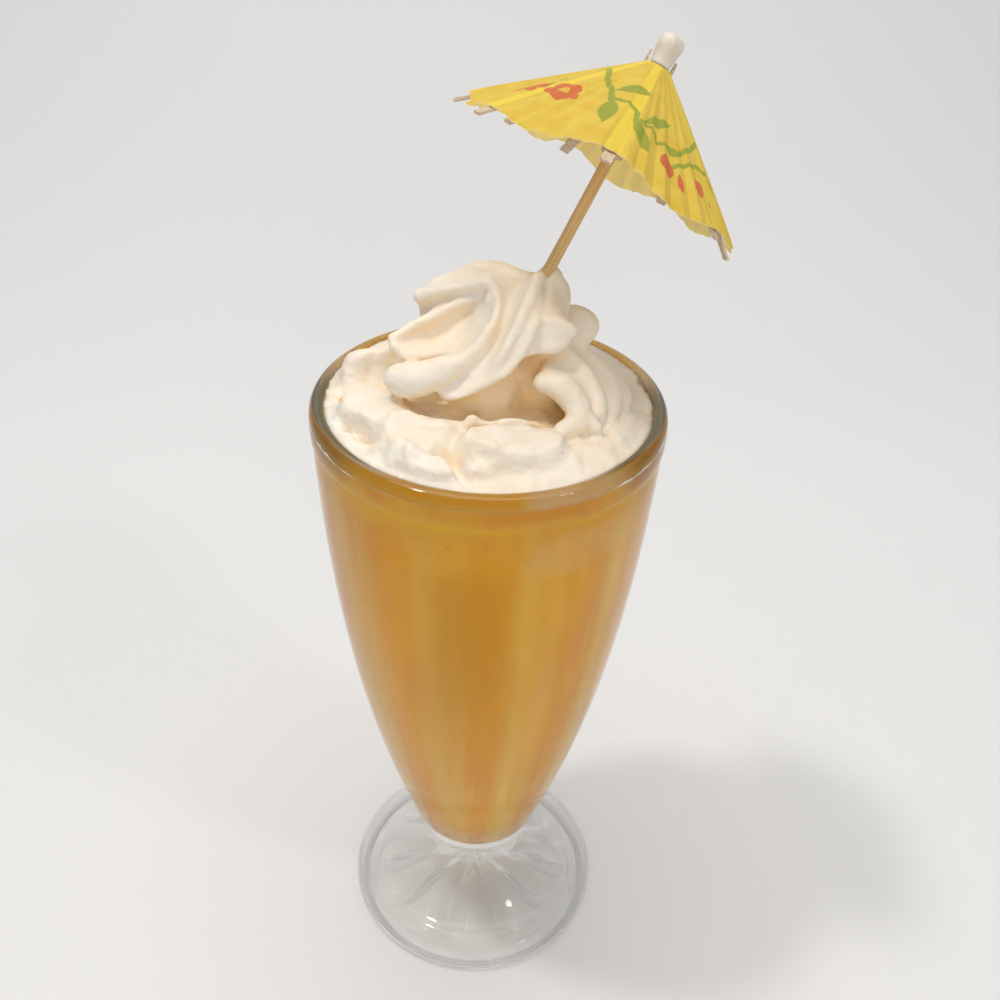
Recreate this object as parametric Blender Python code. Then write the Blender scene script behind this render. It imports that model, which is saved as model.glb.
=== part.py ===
"""A mango milkshake in a footed soda glass, with piped cream and a paper umbrella.

The model stands on z = 0. While it is built the glass's axis is the z axis, and at the end
everything moves together so that the origin is the middle of the footprint.
"""

import math

import bmesh
import bpy
from mathutils import Matrix, Vector

MM = 0.001
GAP = 0.3

# Glass, in millimetres
GLASS_HEIGHT = 181.1
FLUTES = 10
FLUTE_TURN = math.radians(284.0)
FLUTE_DEPTH = 0.9
FOOT_RIDGE_TURN = math.radians(288.0)
FOOT_RIDGE_DEPTH = 0.8
GLASS_SEGMENTS = 50
GLASS_START = FLUTE_TURN

# Contents, in millimetres
SHAKE_LEVEL = 176.0
CREAM_BASE = 181.6
CREAM_VOXEL = 1.3
CREAM_RATIO = 0.17
BED_REACH = 41.0
BED_CELLS = 46
BED_SPARE = 3.0
PETAL_STEPS = 18

# Umbrella, in millimetres along and round its own axis
STICK_LEAN = Vector((0.444, 0.313, 0.840)).normalized()
CANOPY_CENTRE = Vector((23.3, 12.0, 232.6))
CANOPY_RADIUS = 34.0
CANOPY_HEIGHT = 25.3
CANOPY_HOLE = 2.9
PAPER_THICKNESS = 0.3
PLEAT_DEPTH = 0.35
EDGE_SAG = 1.2
PLEAT_SCALLOP = 0.8
CANOPY_SEGMENTS = 72
STICK_RADIUS = 1.35
STICK_SIDES = 12
STICK_FOOT = -65.5
STICK_TOP = 30.0
STICK_POINT = 7.0
CAP_RADIUS = 3.2
CAP_BOTTOM = 24.4
CAP_TOP = 31.6
# Angle of each rib in degrees, how far it passes the paper's edge, and how much it lifts that edge
RIBS = [
    (3, 2.8, 0.0),
    (46, -1.5, 1.5),
    (95, 0.5, 2.8),
    (125, 0.5, 1.5),
    (167, 2.2, 0.0),
    (203, 0.8, -2.2),
    (256, 0.8, 0.8),
    (310, 2.0, -1.6),
]
RIB_WIDTH = 2.4
RIB_INNER_WIDTH = 0.9
RIB_THICKNESS = 0.6
RIB_DROP = 0.7
RIB_START = 4.6
STRUT_WIDTH = 1.0
STRUT_THICKNESS = 0.6
STRUT_FOOT = (3.2, 5.6)
STRUT_REACH = 16.0
RUNNER_BOTTOM = 3.4
RUNNER_TOP = 7.4
HUB_RADIUS = 2.6
HUB_BOTTOM = 17.8
HUB_TOP = 24.1
FIN_ANGLES = [math.radians(a) for a in (3, 46, 167)]
FIN_WIDTH = 0.8
FIN_BOTTOM = 23.45
FIN_TOP = 26.8
FIN_INNER = 3.3
FIN_OUTER = 4.0

# Outline of the glass's outer side, from the middle of the underside to the inner edge of
# the rim: (radius, height)
UNDERSIDE = [(12.0, 9.6), (24.0, 5.2), (31.5, 2.0), (34.6, 0.0)]
FOOT_EDGE = [(36.6, 0.0), (38.1, 1.0), (38.4, 2.8), (38.1, 4.4), (36.7, 5.5)]
FOOT_TOP = [(34.6, 5.3), (32.9, 4.7), (31.2, 5.5), (27.0, 7.2), (21.5, 10.8), (17.0, 15.6)]
COLLAR = [(14.4, 20.6), (15.4, 22.2), (15.9, 24.0)]
BOWL_FOOT = (15.4, 26.4)
BOWL_BRIM = (42.5, 173.2)
RIM = [(43.0, 175.8), (42.9, 178.8), (42.1, 180.6), (40.6, GLASS_HEIGHT), (39.2, 180.5)]
UNDERSIDE_HEIGHT = 10.6

# How the bowl swells between its foot and its brim, and the glass's wall
BOWL_SWELL = 2.35
BOWL_FLARE = 0.25
BOWL_RINGS = 12
WALL_THICKNESS = 3.8
WALL_RINGS = 10
WALL_BOTTOM = 42.0
FLUTE_TOP = 166.0
WALL_TOP = [(38.9, 178.6), (38.65, 172.0)]
BOTTOM_DEPTH = 11.0

# Spooned cream bed: (x, y, half length, half width, turn in degrees, height, edge sharpness)
LUMPS = [
    (4.0, -26.5, 13.0, 7.5, 4.0, 3.8, 6.0),
    (3.5, -16.5, 13.0, 2.6, 6.0, 3.4, 4.0),
    (-13.5, -24.0, 9.0, 8.0, 30.0, 2.4, 4.0),
    (-12.5, -33.0, 6.5, 3.2, -22.0, 2.2, 4.0),
    (-26.0, -17.5, 8.5, 6.0, 38.0, 2.6, 4.0),
    (-27.0, -5.0, 9.5, 6.5, 20.0, 3.2, 4.0),
    (-33.0, 6.0, 4.4, 4.8, 40.0, 6.6, 4.0),
    (-24.0, 10.5, 7.5, 5.0, 0.0, 4.6, 3.0),
    (21.0, -26.0, 9.0, 6.0, 35.0, 1.4, 4.0),
    (26.0, -8.0, 7.0, 8.0, 0.0, 1.0, 3.0),
    (0.0, 14.0, 22.0, 14.0, 0.0, 6.0, 3.0),
]
DENTS = [
    (-27.5, -21.6, 6.0, 1.2, -40.0, 3.2, 4.0),
    (-6.0, -26.0, 1.6, 8.0, 10.0, 2.0, 3.0),
    (31.5, 4.0, 4.5, 9.0, 0.0, 1.8, 3.0),
    (-4.5, -35.0, 3.2, 3.0, 60.0, 1.4, 2.0),
]
CREAM_EDGE_DROP = 1.8

# Piped petals: root, bend and tip as (x, y, z), and the radius at each
PETALS = [
    # Upper left petal
    ((-3, 6, 202.5), (-13, 3, 194.5), (-22, 0.5, 195.5), (7, 7.8, 2.6)),
    # Long front left petal
    ((-0.5, 3, 208.5), (2, -13, 196), (-21, -10, 189.5), (3.4, 5.4, 3.4)),
    # Middle ridges
    ((3, 3, 207.5), (8, -7, 200), (-6.5, -13, 189.5), (2.8, 3.4, 2)),
    ((11.5, 2.5, 211), (8.5, -13, 197), (-8, -14.5, 188.5), (2.6, 3.4, 1.6)),
    # Back plateau with its two nubs
    ((-13, 14, 201), (-2, 12, 209), (11, 8, 207.5), (3.4, 4.8, 3)),
    ((-13.5, 13.5, 198.5), (-16.5, 14, 197.5), (-18, 14, 199.5), (3, 2.6, 1.7)),
    ((-11, 14, 202), (-13, 14, 202.5), (-14.5, 14, 203), (2.6, 2.2, 1.7)),
    # Mound round the stick
    ((14.5, 5.5, 210.5), (14.5, 7, 203.5), (15, 6, 197.5), (3.9, 3, 5)),
    # Small curled nub
    ((13.5, -5, 198), (13.5, -6, 203.5), (17, -5, 202), (3.8, 4, 2.6)),
    # Right lobe
    ((17.5, 9, 198.5), (26.5, 9, 197), (18.5, 2, 190), (3.8, 4.6, 3.3)),
    # Lower right petals
    ((16.5, -1, 195), (26.5, -7, 191), (24, -14.5, 184), (2.8, 2.5, 2.2)),
    ((20.5, 3.5, 193), (31, -2, 188), (26.5, -12, 183), (2.8, 2.2, 1.8)),
    ((9.5, -10, 189.5), (18, -12.5, 192), (20, -19, 185), (3, 4.8, 3)),
    # Heart of the swirl, hidden by the petals
    ((-2, 0, 184), (0, 2, 192), (3, 6, 200), (12, 10, 7)),
    ((12, 2, 186), (14, 2, 188), (16, 2, 190), (9, 7.5, 6)),
]


def plain_material(name, colour, roughness, transmission=0.0):
    material = bpy.data.materials.new(name)
    material.use_nodes = True
    shader = material.node_tree.nodes["Principled BSDF"]
    shader.inputs["Base Color"].default_value = (*colour, 1.0)
    shader.inputs["Roughness"].default_value = roughness
    shader.inputs["Metallic"].default_value = 0.0
    shader.inputs["Transmission Weight"].default_value = transmission
    return material


def new_object(name, mesh, material=None, parent=None):
    obj = bpy.data.objects.new(name, mesh)
    bpy.context.collection.objects.link(obj)
    if material:
        mesh.materials.append(material)
    obj.parent = parent
    return obj


def clear_scene():
    for obj in list(bpy.data.objects):
        bpy.data.objects.remove(obj, do_unlink=True)


def mesh_from(name, vertices, faces, smooth_angle=40.0):
    """A mesh in metres from vertices in millimetres."""
    mesh = bpy.data.meshes.new(name)
    mesh.from_pydata([Vector(v) * MM for v in vertices], [], faces)
    mesh.update()
    work = bmesh.new()
    work.from_mesh(mesh)
    bmesh.ops.recalc_face_normals(work, faces=work.faces)
    work.to_mesh(mesh)
    work.free()
    mesh.shade_smooth()
    mesh.set_sharp_from_angle(angle=math.radians(smooth_angle))
    return mesh


def ridge(angle, turn, count=FLUTES):
    """1 on each of the sharp ridges between arched flutes, 0 in the middle of a flute."""
    return 1.0 - abs(math.sin(0.5 * count * (angle - turn)))


def ring(outline_point, segments, start, wall_ridge=0.0, floor_ridge=0.0):
    """One ring of points; ridges stand inward from a wall or hang below a floor."""
    radius, height = outline_point
    points = []
    for step in range(segments):
        angle = start + 2.0 * math.pi * step / segments
        r = radius - wall_ridge * ridge(angle, FLUTE_TURN)
        z = height - floor_ridge * ridge(angle, FOOT_RIDGE_TURN)
        points.append((r * math.cos(angle), r * math.sin(angle), z))
    return points


def lathe(name, bottom, rings, top, smooth_angle=40.0):
    """A closed solid from one pole through rings of equal length to the other pole."""
    count = len(rings[0])
    vertices = [bottom] + [point for points in rings for point in points] + [top]
    last = len(vertices) - 1
    faces = []
    for step in range(count):
        following = (step + 1) % count
        faces.append((0, 1 + step, 1 + following))
        for level in range(len(rings) - 1):
            low = 1 + level * count
            high = low + count
            faces.append((low + step, high + step, high + following, low + following))
        final = 1 + (len(rings) - 1) * count
        faces.append((last, final + following, final + step))
    return mesh_from(name, vertices, faces, smooth_angle)


def bowl_radius(height):
    """The bowl's outer radius: a steep swell from its foot that eases into a slight flare."""
    share = (height - BOWL_FOOT[1]) / (BOWL_BRIM[1] - BOWL_FOOT[1])
    growth = (1.0 - BOWL_FLARE) * (1.0 - (1.0 - share) ** BOWL_SWELL) + BOWL_FLARE * share
    return BOWL_FOOT[0] + (BOWL_BRIM[0] - BOWL_FOOT[0]) * growth


def bowl_outline():
    """Outer side of the bowl from its foot to its brim."""
    rise = BOWL_BRIM[1] - BOWL_FOOT[1]
    heights = [BOWL_FOOT[1] + rise * (step / BOWL_RINGS) ** 1.2 for step in range(BOWL_RINGS + 1)]
    return [(bowl_radius(z), z) for z in heights]


def wall_outline(gap=0.0):
    """Inner side from the top of the flutes down: (radius, height, flute depth)."""
    rise = FLUTE_TOP - WALL_BOTTOM
    outline = []
    for step in range(WALL_RINGS + 1):
        z = WALL_BOTTOM + rise * (1.0 - step / WALL_RINGS) ** 1.2
        outline.append((bowl_radius(z) - WALL_THICKNESS - gap, z, FLUTE_DEPTH))
    low_radius = outline[-1][0]
    for turn, share in ((30.0, 0.4), (60.0, 0.0)):
        across = low_radius * math.cos(math.radians(turn))
        down = (BOTTOM_DEPTH - gap) * math.sin(math.radians(turn))
        outline.append((across, WALL_BOTTOM - down, share * FLUTE_DEPTH))
    return outline


def glass_mesh():
    """Foot with a ridged hollow underneath, collar, bowl, rolled rim and fluted inside."""
    floor_ridges = [FOOT_RIDGE_DEPTH * share for share in (0.8, 1.0, 0.4, 0.0)]
    rings = [ring(p, GLASS_SEGMENTS, GLASS_START, 0.0, depth) for p, depth in zip(UNDERSIDE, floor_ridges)]
    for p in FOOT_EDGE + FOOT_TOP + COLLAR + bowl_outline() + RIM + WALL_TOP:
        rings.append(ring(p, GLASS_SEGMENTS, GLASS_START))
    for radius, height, flute in wall_outline():
        rings.append(ring((radius, height), GLASS_SEGMENTS, GLASS_START, flute))
    underside = (0.0, 0.0, UNDERSIDE_HEIGHT)
    return lathe("glass", underside, rings, (0.0, 0.0, WALL_BOTTOM - BOTTOM_DEPTH))


def shake_mesh():
    """The drink, a gap inside the fluted wall, up to its flat level."""
    slope_gap = 1.5 * GAP
    rings = []
    for radius, height, flute in reversed(wall_outline(slope_gap)):
        rings.append(ring((radius, height), GLASS_SEGMENTS, GLASS_START, flute))
    for height in (WALL_TOP[1][1], SHAKE_LEVEL):
        rings.append(ring((WALL_TOP[1][0] - GAP, height), GLASS_SEGMENTS, GLASS_START))
    bottom = (0.0, 0.0, WALL_BOTTOM - BOTTOM_DEPTH + slope_gap)
    return lathe("milkshake", bottom, rings, (0.0, 0.0, SHAKE_LEVEL), 50.0)


def plateau(x, y, lump):
    """Height of one lump or dent at a point: flat in its middle, falling off at its edge."""
    centre_x, centre_y, length, width, turn, height, sharpness = lump
    c = math.cos(math.radians(turn))
    s = math.sin(math.radians(turn))
    along = ((x - centre_x) * c + (y - centre_y) * s) / length
    across = ((y - centre_y) * c - (x - centre_x) * s) / width
    return height / (1.0 + (along * along + across * across) ** sharpness)


def cream_height(x, y):
    ripple = 0.25 * math.sin(0.55 * x + 0.9) * math.sin(0.48 * y - 0.4)
    raised = sum(plateau(x, y, lump) for lump in LUMPS)
    sunk = sum(plateau(x, y, dent) for dent in DENTS)
    drop = CREAM_EDGE_DROP * (math.hypot(x, y) / WALL_TOP[0][0]) ** 8
    return CREAM_BASE + ripple + raised - sunk - drop


def cream_bed():
    """A block with the bed's lumpy top, a little wider than the glass, to be trimmed."""
    work = bmesh.new()
    bmesh.ops.create_grid(work, x_segments=BED_CELLS, y_segments=BED_CELLS, size=BED_REACH)
    outside = [v for v in work.verts if math.hypot(v.co.x, v.co.y) > BED_REACH]
    bmesh.ops.delete(work, geom=outside, context="VERTS")
    for v in work.verts:
        v.co.z = cream_height(v.co.x, v.co.y)
    top = work.faces[:]
    grown = bmesh.ops.extrude_face_region(work, geom=top)
    for element in grown["geom"]:
        if isinstance(element, bmesh.types.BMVert):
            element.co.z = SHAKE_LEVEL - BED_SPARE
    bmesh.ops.recalc_face_normals(work, faces=work.faces)
    return work


def bent(start, bend, end, share):
    """A value on the quadratic curve that leaves start towards bend and arrives at end."""
    rest = 1.0 - share
    return rest * rest * start + 2.0 * rest * share * bend + share * share * end


def add_petal(work, root, bend, tip, radii):
    """A chain of balls close enough to fuse into one tapering ridge."""
    for step in range(PETAL_STEPS + 1):
        share = step / PETAL_STEPS
        centre = bent(Vector(root), Vector(bend), Vector(tip), share)
        radius = bent(*radii, share)
        place = Matrix.Translation(centre)
        bmesh.ops.create_icosphere(work, subdivisions=2, radius=radius, matrix=place)


def cream_mesh():
    """Bed and piped swirl fused into one body, trimmed to the glass and to the stick."""
    work = cream_bed()
    for petal in PETALS:
        add_petal(work, *petal)
    bmesh.ops.scale(work, vec=(MM, MM, MM), verts=work.verts)
    mesh = bpy.data.meshes.new("whipped_cream")
    work.to_mesh(mesh)
    work.free()
    return mesh


def apply_modifiers(obj):
    """Replaces the object's mesh by what its modifiers make of it."""
    evaluated = obj.evaluated_get(bpy.context.evaluated_depsgraph_get())
    mesh = bpy.data.meshes.new_from_object(evaluated)
    obj.modifiers.clear()
    obj.data = mesh


def add_boolean(obj, cutter, operation):
    cutter.hide_render = True
    cutter.display_type = "WIRE"
    modifier = obj.modifiers.new(cutter.name, "BOOLEAN")
    modifier.operation = operation
    modifier.object = cutter
    modifier.solver = "EXACT"


def cream_envelope():
    """The space inside the wall and above the drink that the cream may fill."""
    low = SHAKE_LEVEL + GAP
    outline = [(WALL_TOP[1][0] - 0.1, low), (WALL_TOP[0][0] - GAP, 178.6), (WALL_TOP[0][0] - GAP, 240.0)]
    rings = [ring(p, GLASS_SEGMENTS, GLASS_START) for p in outline]
    return new_object("cream_envelope", lathe("cream_envelope", (0, 0, low), rings, (0, 0, 240.0)))


def make_cream(umbrella):
    material = plain_material("cream", (0.94, 0.86, 0.74), 0.4)
    cream = new_object("whipped_cream", cream_mesh(), material)
    remesh = cream.modifiers.new("fuse", "REMESH")
    remesh.mode = "VOXEL"
    remesh.voxel_size = CREAM_VOXEL * MM
    soften = cream.modifiers.new("soften", "SMOOTH")
    soften.factor = 0.5
    soften.iterations = 2
    thin = cream.modifiers.new("thin", "DECIMATE")
    thin.ratio = CREAM_RATIO
    apply_modifiers(cream)
    add_boolean(cream, cream_envelope(), "INTERSECT")
    clearance = stick_mesh("stick_clearance", STICK_RADIUS + GAP, STICK_FOOT - GAP, CANOPY_HEIGHT)
    add_boolean(cream, new_object("stick_clearance", clearance, parent=umbrella), "DIFFERENCE")
    return cream


def stick_mesh(name, radius, low, high, point=0.0):
    """A round bar along the umbrella's axis, with a tapered point below."""
    outline = [(0.45 * radius, low), (radius, low + point)] if point else [(radius, low)]
    outline.append((radius, high))
    rings = [ring(p, STICK_SIDES, 0.0) for p in outline]
    return lathe(name, (0.0, 0.0, low), rings, (0.0, 0.0, high))


def tube_mesh(name, outside, bore):
    """A turned sleeve: its outer outline from bottom to top, closed by a straight bore."""
    outline = outside + [(bore, outside[-1][1]), (bore, outside[0][1])]
    rings = [ring(p, 24, 0.0) for p in outline]
    count = len(rings[0])
    vertices = [point for points in rings for point in points]
    faces = []
    for level in range(len(rings)):
        low = level * count
        high = (level + 1) % len(rings) * count
        for step in range(count):
            following = (step + 1) % count
            faces.append((low + step, high + step, high + following, low + following))
    return mesh_from(name, vertices, faces)


def edge_lift(degrees):
    """How far the paper's edge stands above a plain cone's: set at each rib, sagging between ribs."""
    stops = [(angle, lift) for angle, overhang, lift in RIBS]
    stops.append((stops[0][0] + 360, stops[0][1]))
    if degrees < stops[0][0]:
        degrees += 360
    lift = 0.0
    for (low, low_lift), (high, high_lift) in zip(stops, stops[1:]):
        if low <= degrees <= high:
            share = (degrees - low) / (high - low)
            eased = 0.5 - 0.5 * math.cos(math.pi * share)
            lift = low_lift + (high_lift - low_lift) * eased - EDGE_SAG * math.sin(math.pi * share) ** 2
    return lift


def canopy_height(radius, degrees):
    share = (radius - CANOPY_HOLE) / (CANOPY_RADIUS - CANOPY_HOLE)
    return CANOPY_HEIGHT * (1.0 - radius / CANOPY_RADIUS) + share * edge_lift(degrees)


def canopy_mesh():
    """A pleated paper cone with a scalloped edge, as one thin closed sheet."""
    shares = [0.0, 0.3, 0.65, 1.0]
    top = []
    for share in shares:
        for step in range(CANOPY_SEGMENTS):
            angle = 2.0 * math.pi * step / CANOPY_SEGMENTS
            edge = CANOPY_RADIUS - PLEAT_SCALLOP * abs(math.cos(12.0 * angle))
            radius = CANOPY_HOLE + (edge - CANOPY_HOLE) * share
            pleat = PLEAT_DEPTH * share * (step % 2)
            lift = canopy_height(radius, math.degrees(angle)) + pleat
            top.append((radius * math.cos(angle), radius * math.sin(angle), lift))
    vertices = top + [(x, y, z - PAPER_THICKNESS) for x, y, z in top]
    under = len(top)
    rows = len(shares)
    count = CANOPY_SEGMENTS
    faces = []
    for step in range(count):
        following = (step + 1) % count
        for row in range(rows - 1):
            a = row * count + step
            b = row * count + following
            c = a + count
            d = b + count
            faces += [(a, c, b), (b, c, d), (under + a, under + b, under + c), (under + b, under + d, under + c)]
        inner = (step, following)
        outer = ((rows - 1) * count + step, (rows - 1) * count + following)
        faces.append((inner[0], inner[1], under + inner[1], under + inner[0]))
        faces.append((outer[0], under + outer[0], under + outer[1], outer[1]))
    return mesh_from("umbrella_canopy", vertices, faces, 180.0)


def slat_mesh(name, start, end, start_width, end_width, thickness):
    """A flat slat between two points (radius, height), standing in the plane y = 0."""
    direction = Vector((end[0] - start[0], 0.0, end[1] - start[1])).normalized()
    down = Vector((direction.z, 0.0, -direction.x)) * thickness
    vertices = []
    for point, width in ((start, start_width), (end, end_width)):
        for side in (-0.5, 0.5):
            edge = Vector((point[0], side * width, point[1]))
            vertices += [edge, edge + down]
    faces = [(0, 1, 3, 2), (4, 6, 7, 5), (0, 2, 6, 4), (1, 5, 7, 3), (0, 4, 5, 1), (2, 3, 7, 6)]
    return mesh_from(name, vertices, faces, 30.0)


def make_ribs(umbrella, wood):
    """Ribs glued under the paper, which they pass by a little at its edge."""
    for number, (angle, overhang, lift) in enumerate(RIBS, 1):
        name = f"umbrella_rib_{number}"
        start = (RIB_START, canopy_height(RIB_START, angle) - RIB_DROP)
        end_radius = CANOPY_RADIUS + overhang
        end = (end_radius, canopy_height(end_radius, angle) - RIB_DROP)
        rib = slat_mesh(name, start, end, RIB_INNER_WIDTH, RIB_WIDTH, RIB_THICKNESS)
        new_object(name, rib, wood, umbrella).rotation_euler.z = math.radians(angle)


def make_struts(umbrella, wood):
    """Struts from the runner up to the ribs."""
    rib_depth = RIB_THICKNESS / math.cos(math.atan2(CANOPY_HEIGHT, CANOPY_RADIUS))
    for number, (angle, overhang, lift) in enumerate(RIBS, 1):
        name = f"umbrella_strut_{number}"
        top = canopy_height(STRUT_REACH, angle) - RIB_DROP - rib_depth - 1.5 * GAP
        strut = slat_mesh(name, STRUT_FOOT, (STRUT_REACH, top), RIB_INNER_WIDTH, STRUT_WIDTH, STRUT_THICKNESS)
        new_object(name, strut, wood, umbrella).rotation_euler.z = math.radians(angle)


def fin_mesh():
    """An L-shaped slat: its foot starts inside the hub's wall, and it stands up outside the cap."""
    foot_start = (HUB_RADIUS + STICK_RADIUS + GAP) / 2.0
    foot_top = HUB_TOP - 0.1
    outline = [(foot_start, FIN_BOTTOM), (FIN_OUTER, FIN_BOTTOM), (FIN_OUTER, FIN_TOP),
               (FIN_INNER, FIN_TOP), (FIN_INNER, foot_top), (foot_start, foot_top)]
    count = len(outline)
    half = FIN_WIDTH / 2.0
    vertices = [(x, side, z) for side in (-half, half) for x, z in outline]
    faces = [tuple(range(count)), tuple(range(count, 2 * count))]
    for step in range(count):
        following = (step + 1) % count
        faces.append((step, following, count + following, count + step))
    return mesh_from("hub_fin", vertices, faces, 30.0)


def make_hub(umbrella, wood):
    """The hub under the paper, with three rib ends that reach out over it and stand beside the cap."""
    body = tube_mesh("umbrella_hub", [(HUB_RADIUS, HUB_BOTTOM), (HUB_RADIUS, HUB_TOP)], STICK_RADIUS + GAP)
    hub = new_object("umbrella_hub", body, wood, umbrella)
    for angle in FIN_ANGLES:
        fin = new_object("hub_fin", fin_mesh(), parent=umbrella)
        fin.rotation_euler.z = angle
        add_boolean(hub, fin, "UNION")


def make_cap(umbrella):
    """The rounded white cap, hollow round the stick's end."""
    material = plain_material("cap_white", (0.86, 0.84, 0.80), 0.6)
    radius = CAP_RADIUS
    outside = [(radius - 0.4, CAP_BOTTOM), (radius - 0.3, CAP_BOTTOM + 2.2), (radius, CAP_TOP - 2.6),
               (radius - 0.3, CAP_TOP - 1.2), (radius - 1.3, CAP_TOP - 0.3)]
    rings = [ring(p, 24, 0.0) for p in outside]
    cap = new_object("umbrella_cap", lathe("umbrella_cap", (0, 0, CAP_BOTTOM), rings, (0, 0, CAP_TOP)),
                     material, umbrella)
    stick_bore = stick_mesh("cap_bore", STICK_RADIUS + GAP, CAP_BOTTOM - 1.0, STICK_TOP + GAP)
    add_boolean(cap, new_object("cap_bore", stick_bore, parent=umbrella), "DIFFERENCE")
    return cap


def make_umbrella():
    """An empty on the umbrella's axis at the level of the paper's edge, and the pieces on it."""
    axis_z = STICK_LEAN
    axis_x = Vector((0.0, 1.0, 0.0)).cross(axis_z).normalized()
    axis_y = axis_z.cross(axis_x)
    umbrella = bpy.data.objects.new("umbrella", None)
    bpy.context.collection.objects.link(umbrella)
    umbrella.location = CANOPY_CENTRE * MM
    umbrella.rotation_euler = Matrix((axis_x, axis_y, axis_z)).transposed().to_euler()

    bamboo = plain_material("bamboo", (0.50, 0.30, 0.12), 0.5)
    slat_wood = plain_material("slat_wood", (0.72, 0.62, 0.50), 0.7)
    paper = plain_material("paper", (0.85, 0.62, 0.10), 0.8)
    stick = stick_mesh("umbrella_stick", STICK_RADIUS, STICK_FOOT, STICK_TOP, STICK_POINT)
    new_object("umbrella_stick", stick, bamboo, umbrella)
    new_object("umbrella_canopy", canopy_mesh(), paper, umbrella)
    runner = tube_mesh("umbrella_runner", [(HUB_RADIUS, RUNNER_BOTTOM), (HUB_RADIUS, RUNNER_TOP)],
                       STICK_RADIUS + GAP)
    new_object("umbrella_runner", runner, slat_wood, umbrella)
    make_ribs(umbrella, slat_wood)
    make_struts(umbrella, slat_wood)
    make_hub(umbrella, slat_wood)
    make_cap(umbrella)
    return umbrella


def centre_on_footprint():
    """Moves everything so that the origin is the middle of the model's box, on the ground."""
    bpy.context.view_layer.update()
    depsgraph = bpy.context.evaluated_depsgraph_get()
    corners = []
    for obj in bpy.context.scene.objects:
        if obj.type == "MESH" and not obj.hide_render:
            evaluated = obj.evaluated_get(depsgraph)
            corners += [evaluated.matrix_world @ v.co for v in evaluated.data.vertices]
    middle_x = (min(c.x for c in corners) + max(c.x for c in corners)) / 2.0
    middle_y = (min(c.y for c in corners) + max(c.y for c in corners)) / 2.0
    for obj in bpy.context.scene.objects:
        if obj.parent is None:
            obj.location.x -= middle_x
            obj.location.y -= middle_y
    bpy.context.view_layer.update()


def main():
    clear_scene()
    new_object("glass", glass_mesh(), plain_material("clear_glass", (0.95, 0.96, 0.95), 0.03, 1.0))
    new_object("milkshake", shake_mesh(), plain_material("mango_shake", (0.70, 0.34, 0.02), 0.4))
    umbrella = make_umbrella()
    make_cream(umbrella)
    centre_on_footprint()


main()
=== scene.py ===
"""Look of a mango milkshake: footed soda glass, drink, piped cream and a paper umbrella.

Shapes are worked out in millimetres with the glass's axis as the z axis, and are set in the
frame of the packed model when their meshes are made.
"""

import math

import bmesh
import bpy
from mathutils import Matrix, Vector, noise
from mathutils.bvhtree import BVHTree


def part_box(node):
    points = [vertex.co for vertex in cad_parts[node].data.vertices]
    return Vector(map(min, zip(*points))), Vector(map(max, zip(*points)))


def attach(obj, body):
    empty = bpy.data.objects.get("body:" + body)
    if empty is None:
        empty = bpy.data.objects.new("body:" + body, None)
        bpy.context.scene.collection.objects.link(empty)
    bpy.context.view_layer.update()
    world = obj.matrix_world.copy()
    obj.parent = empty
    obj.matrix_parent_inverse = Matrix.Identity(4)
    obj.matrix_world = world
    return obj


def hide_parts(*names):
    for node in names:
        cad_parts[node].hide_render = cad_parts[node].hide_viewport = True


bl_info = {
    "name": "Mango Milkshake",
    "version": (1, 0, 0),
    "blender": (4, 5, 0),
    "location": "View3D > Sidebar > Milkshake",
    "description": "Builds a mango milkshake with cream and a paper umbrella round its packed model",
    "category": "Add Mesh",
}

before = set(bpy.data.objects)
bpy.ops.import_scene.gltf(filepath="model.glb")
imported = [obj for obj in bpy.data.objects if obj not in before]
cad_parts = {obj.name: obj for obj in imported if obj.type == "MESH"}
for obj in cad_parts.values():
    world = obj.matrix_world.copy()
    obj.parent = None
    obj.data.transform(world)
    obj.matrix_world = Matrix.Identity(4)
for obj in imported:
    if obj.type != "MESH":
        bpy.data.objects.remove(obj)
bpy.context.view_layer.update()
GLASS_LOW, GLASS_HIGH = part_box("glass")
# Where the glass's axis meets the floor, in metres
GLASS_AXIS = Vector((0.5 * (GLASS_LOW.x + GLASS_HIGH.x), 0.5 * (GLASS_LOW.y + GLASS_HIGH.y), 0.0))

MM = 0.001
TAU = 2.0 * math.pi

# Glass: outline points are (radius, height)
FLUTES = 10
FLUTE_TURN = 284
FLUTE_DEPTH = 0.9
FLUTE_TOP = 166.0
FOOT_RIDGE_TURN = 288
FOOT_RIDGE_DEPTH = 2.0
GLASS_SEGMENTS = 360
UNDERSIDE = [(0.5, 10.6), (12.0, 9.6), (24.0, 5.2), (31.5, 2.0), (34.6, 0.0)]
FOOT_EDGE = [(36.6, 0.0), (38.1, 1.0), (38.4, 2.8), (38.1, 4.4), (36.7, 5.5), (34.6, 5.2), (33.4, 4.2)]
FOOT_TOP = [(32.4, 4.2), (30.9, 6.0), (27.0, 7.3), (21.5, 10.8), (17.0, 15.6), (14.4, 20.6)]
COLLAR = [(15.4, 22.2), (15.9, 24.0), (15.4, 26.4)]
BOWL_FOOT = (15.4, 26.4)
BOWL_BRIM = (42.5, 173.2)
BOWL_SWELL = 2.35
BOWL_FLARE = 0.25
RIM_START = 172.6
RIM = [(42.2, 173.0), (42.7, 173.6), (42.9, 175.8), (42.8, 178.8), (42.1, 180.6), (40.6, 181.1),
       (39.2, 180.5), (38.9, 178.6)]
RIM_INSIDE = (38.75, 175.5)
WALL_THICKNESS = 3.8
WALL_TOP_RADIUS = 38.65
WALL_TOP_HEIGHT = 172.0
WALL_BOTTOM = 42.0
BOTTOM_DEPTH = 11.0

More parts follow.
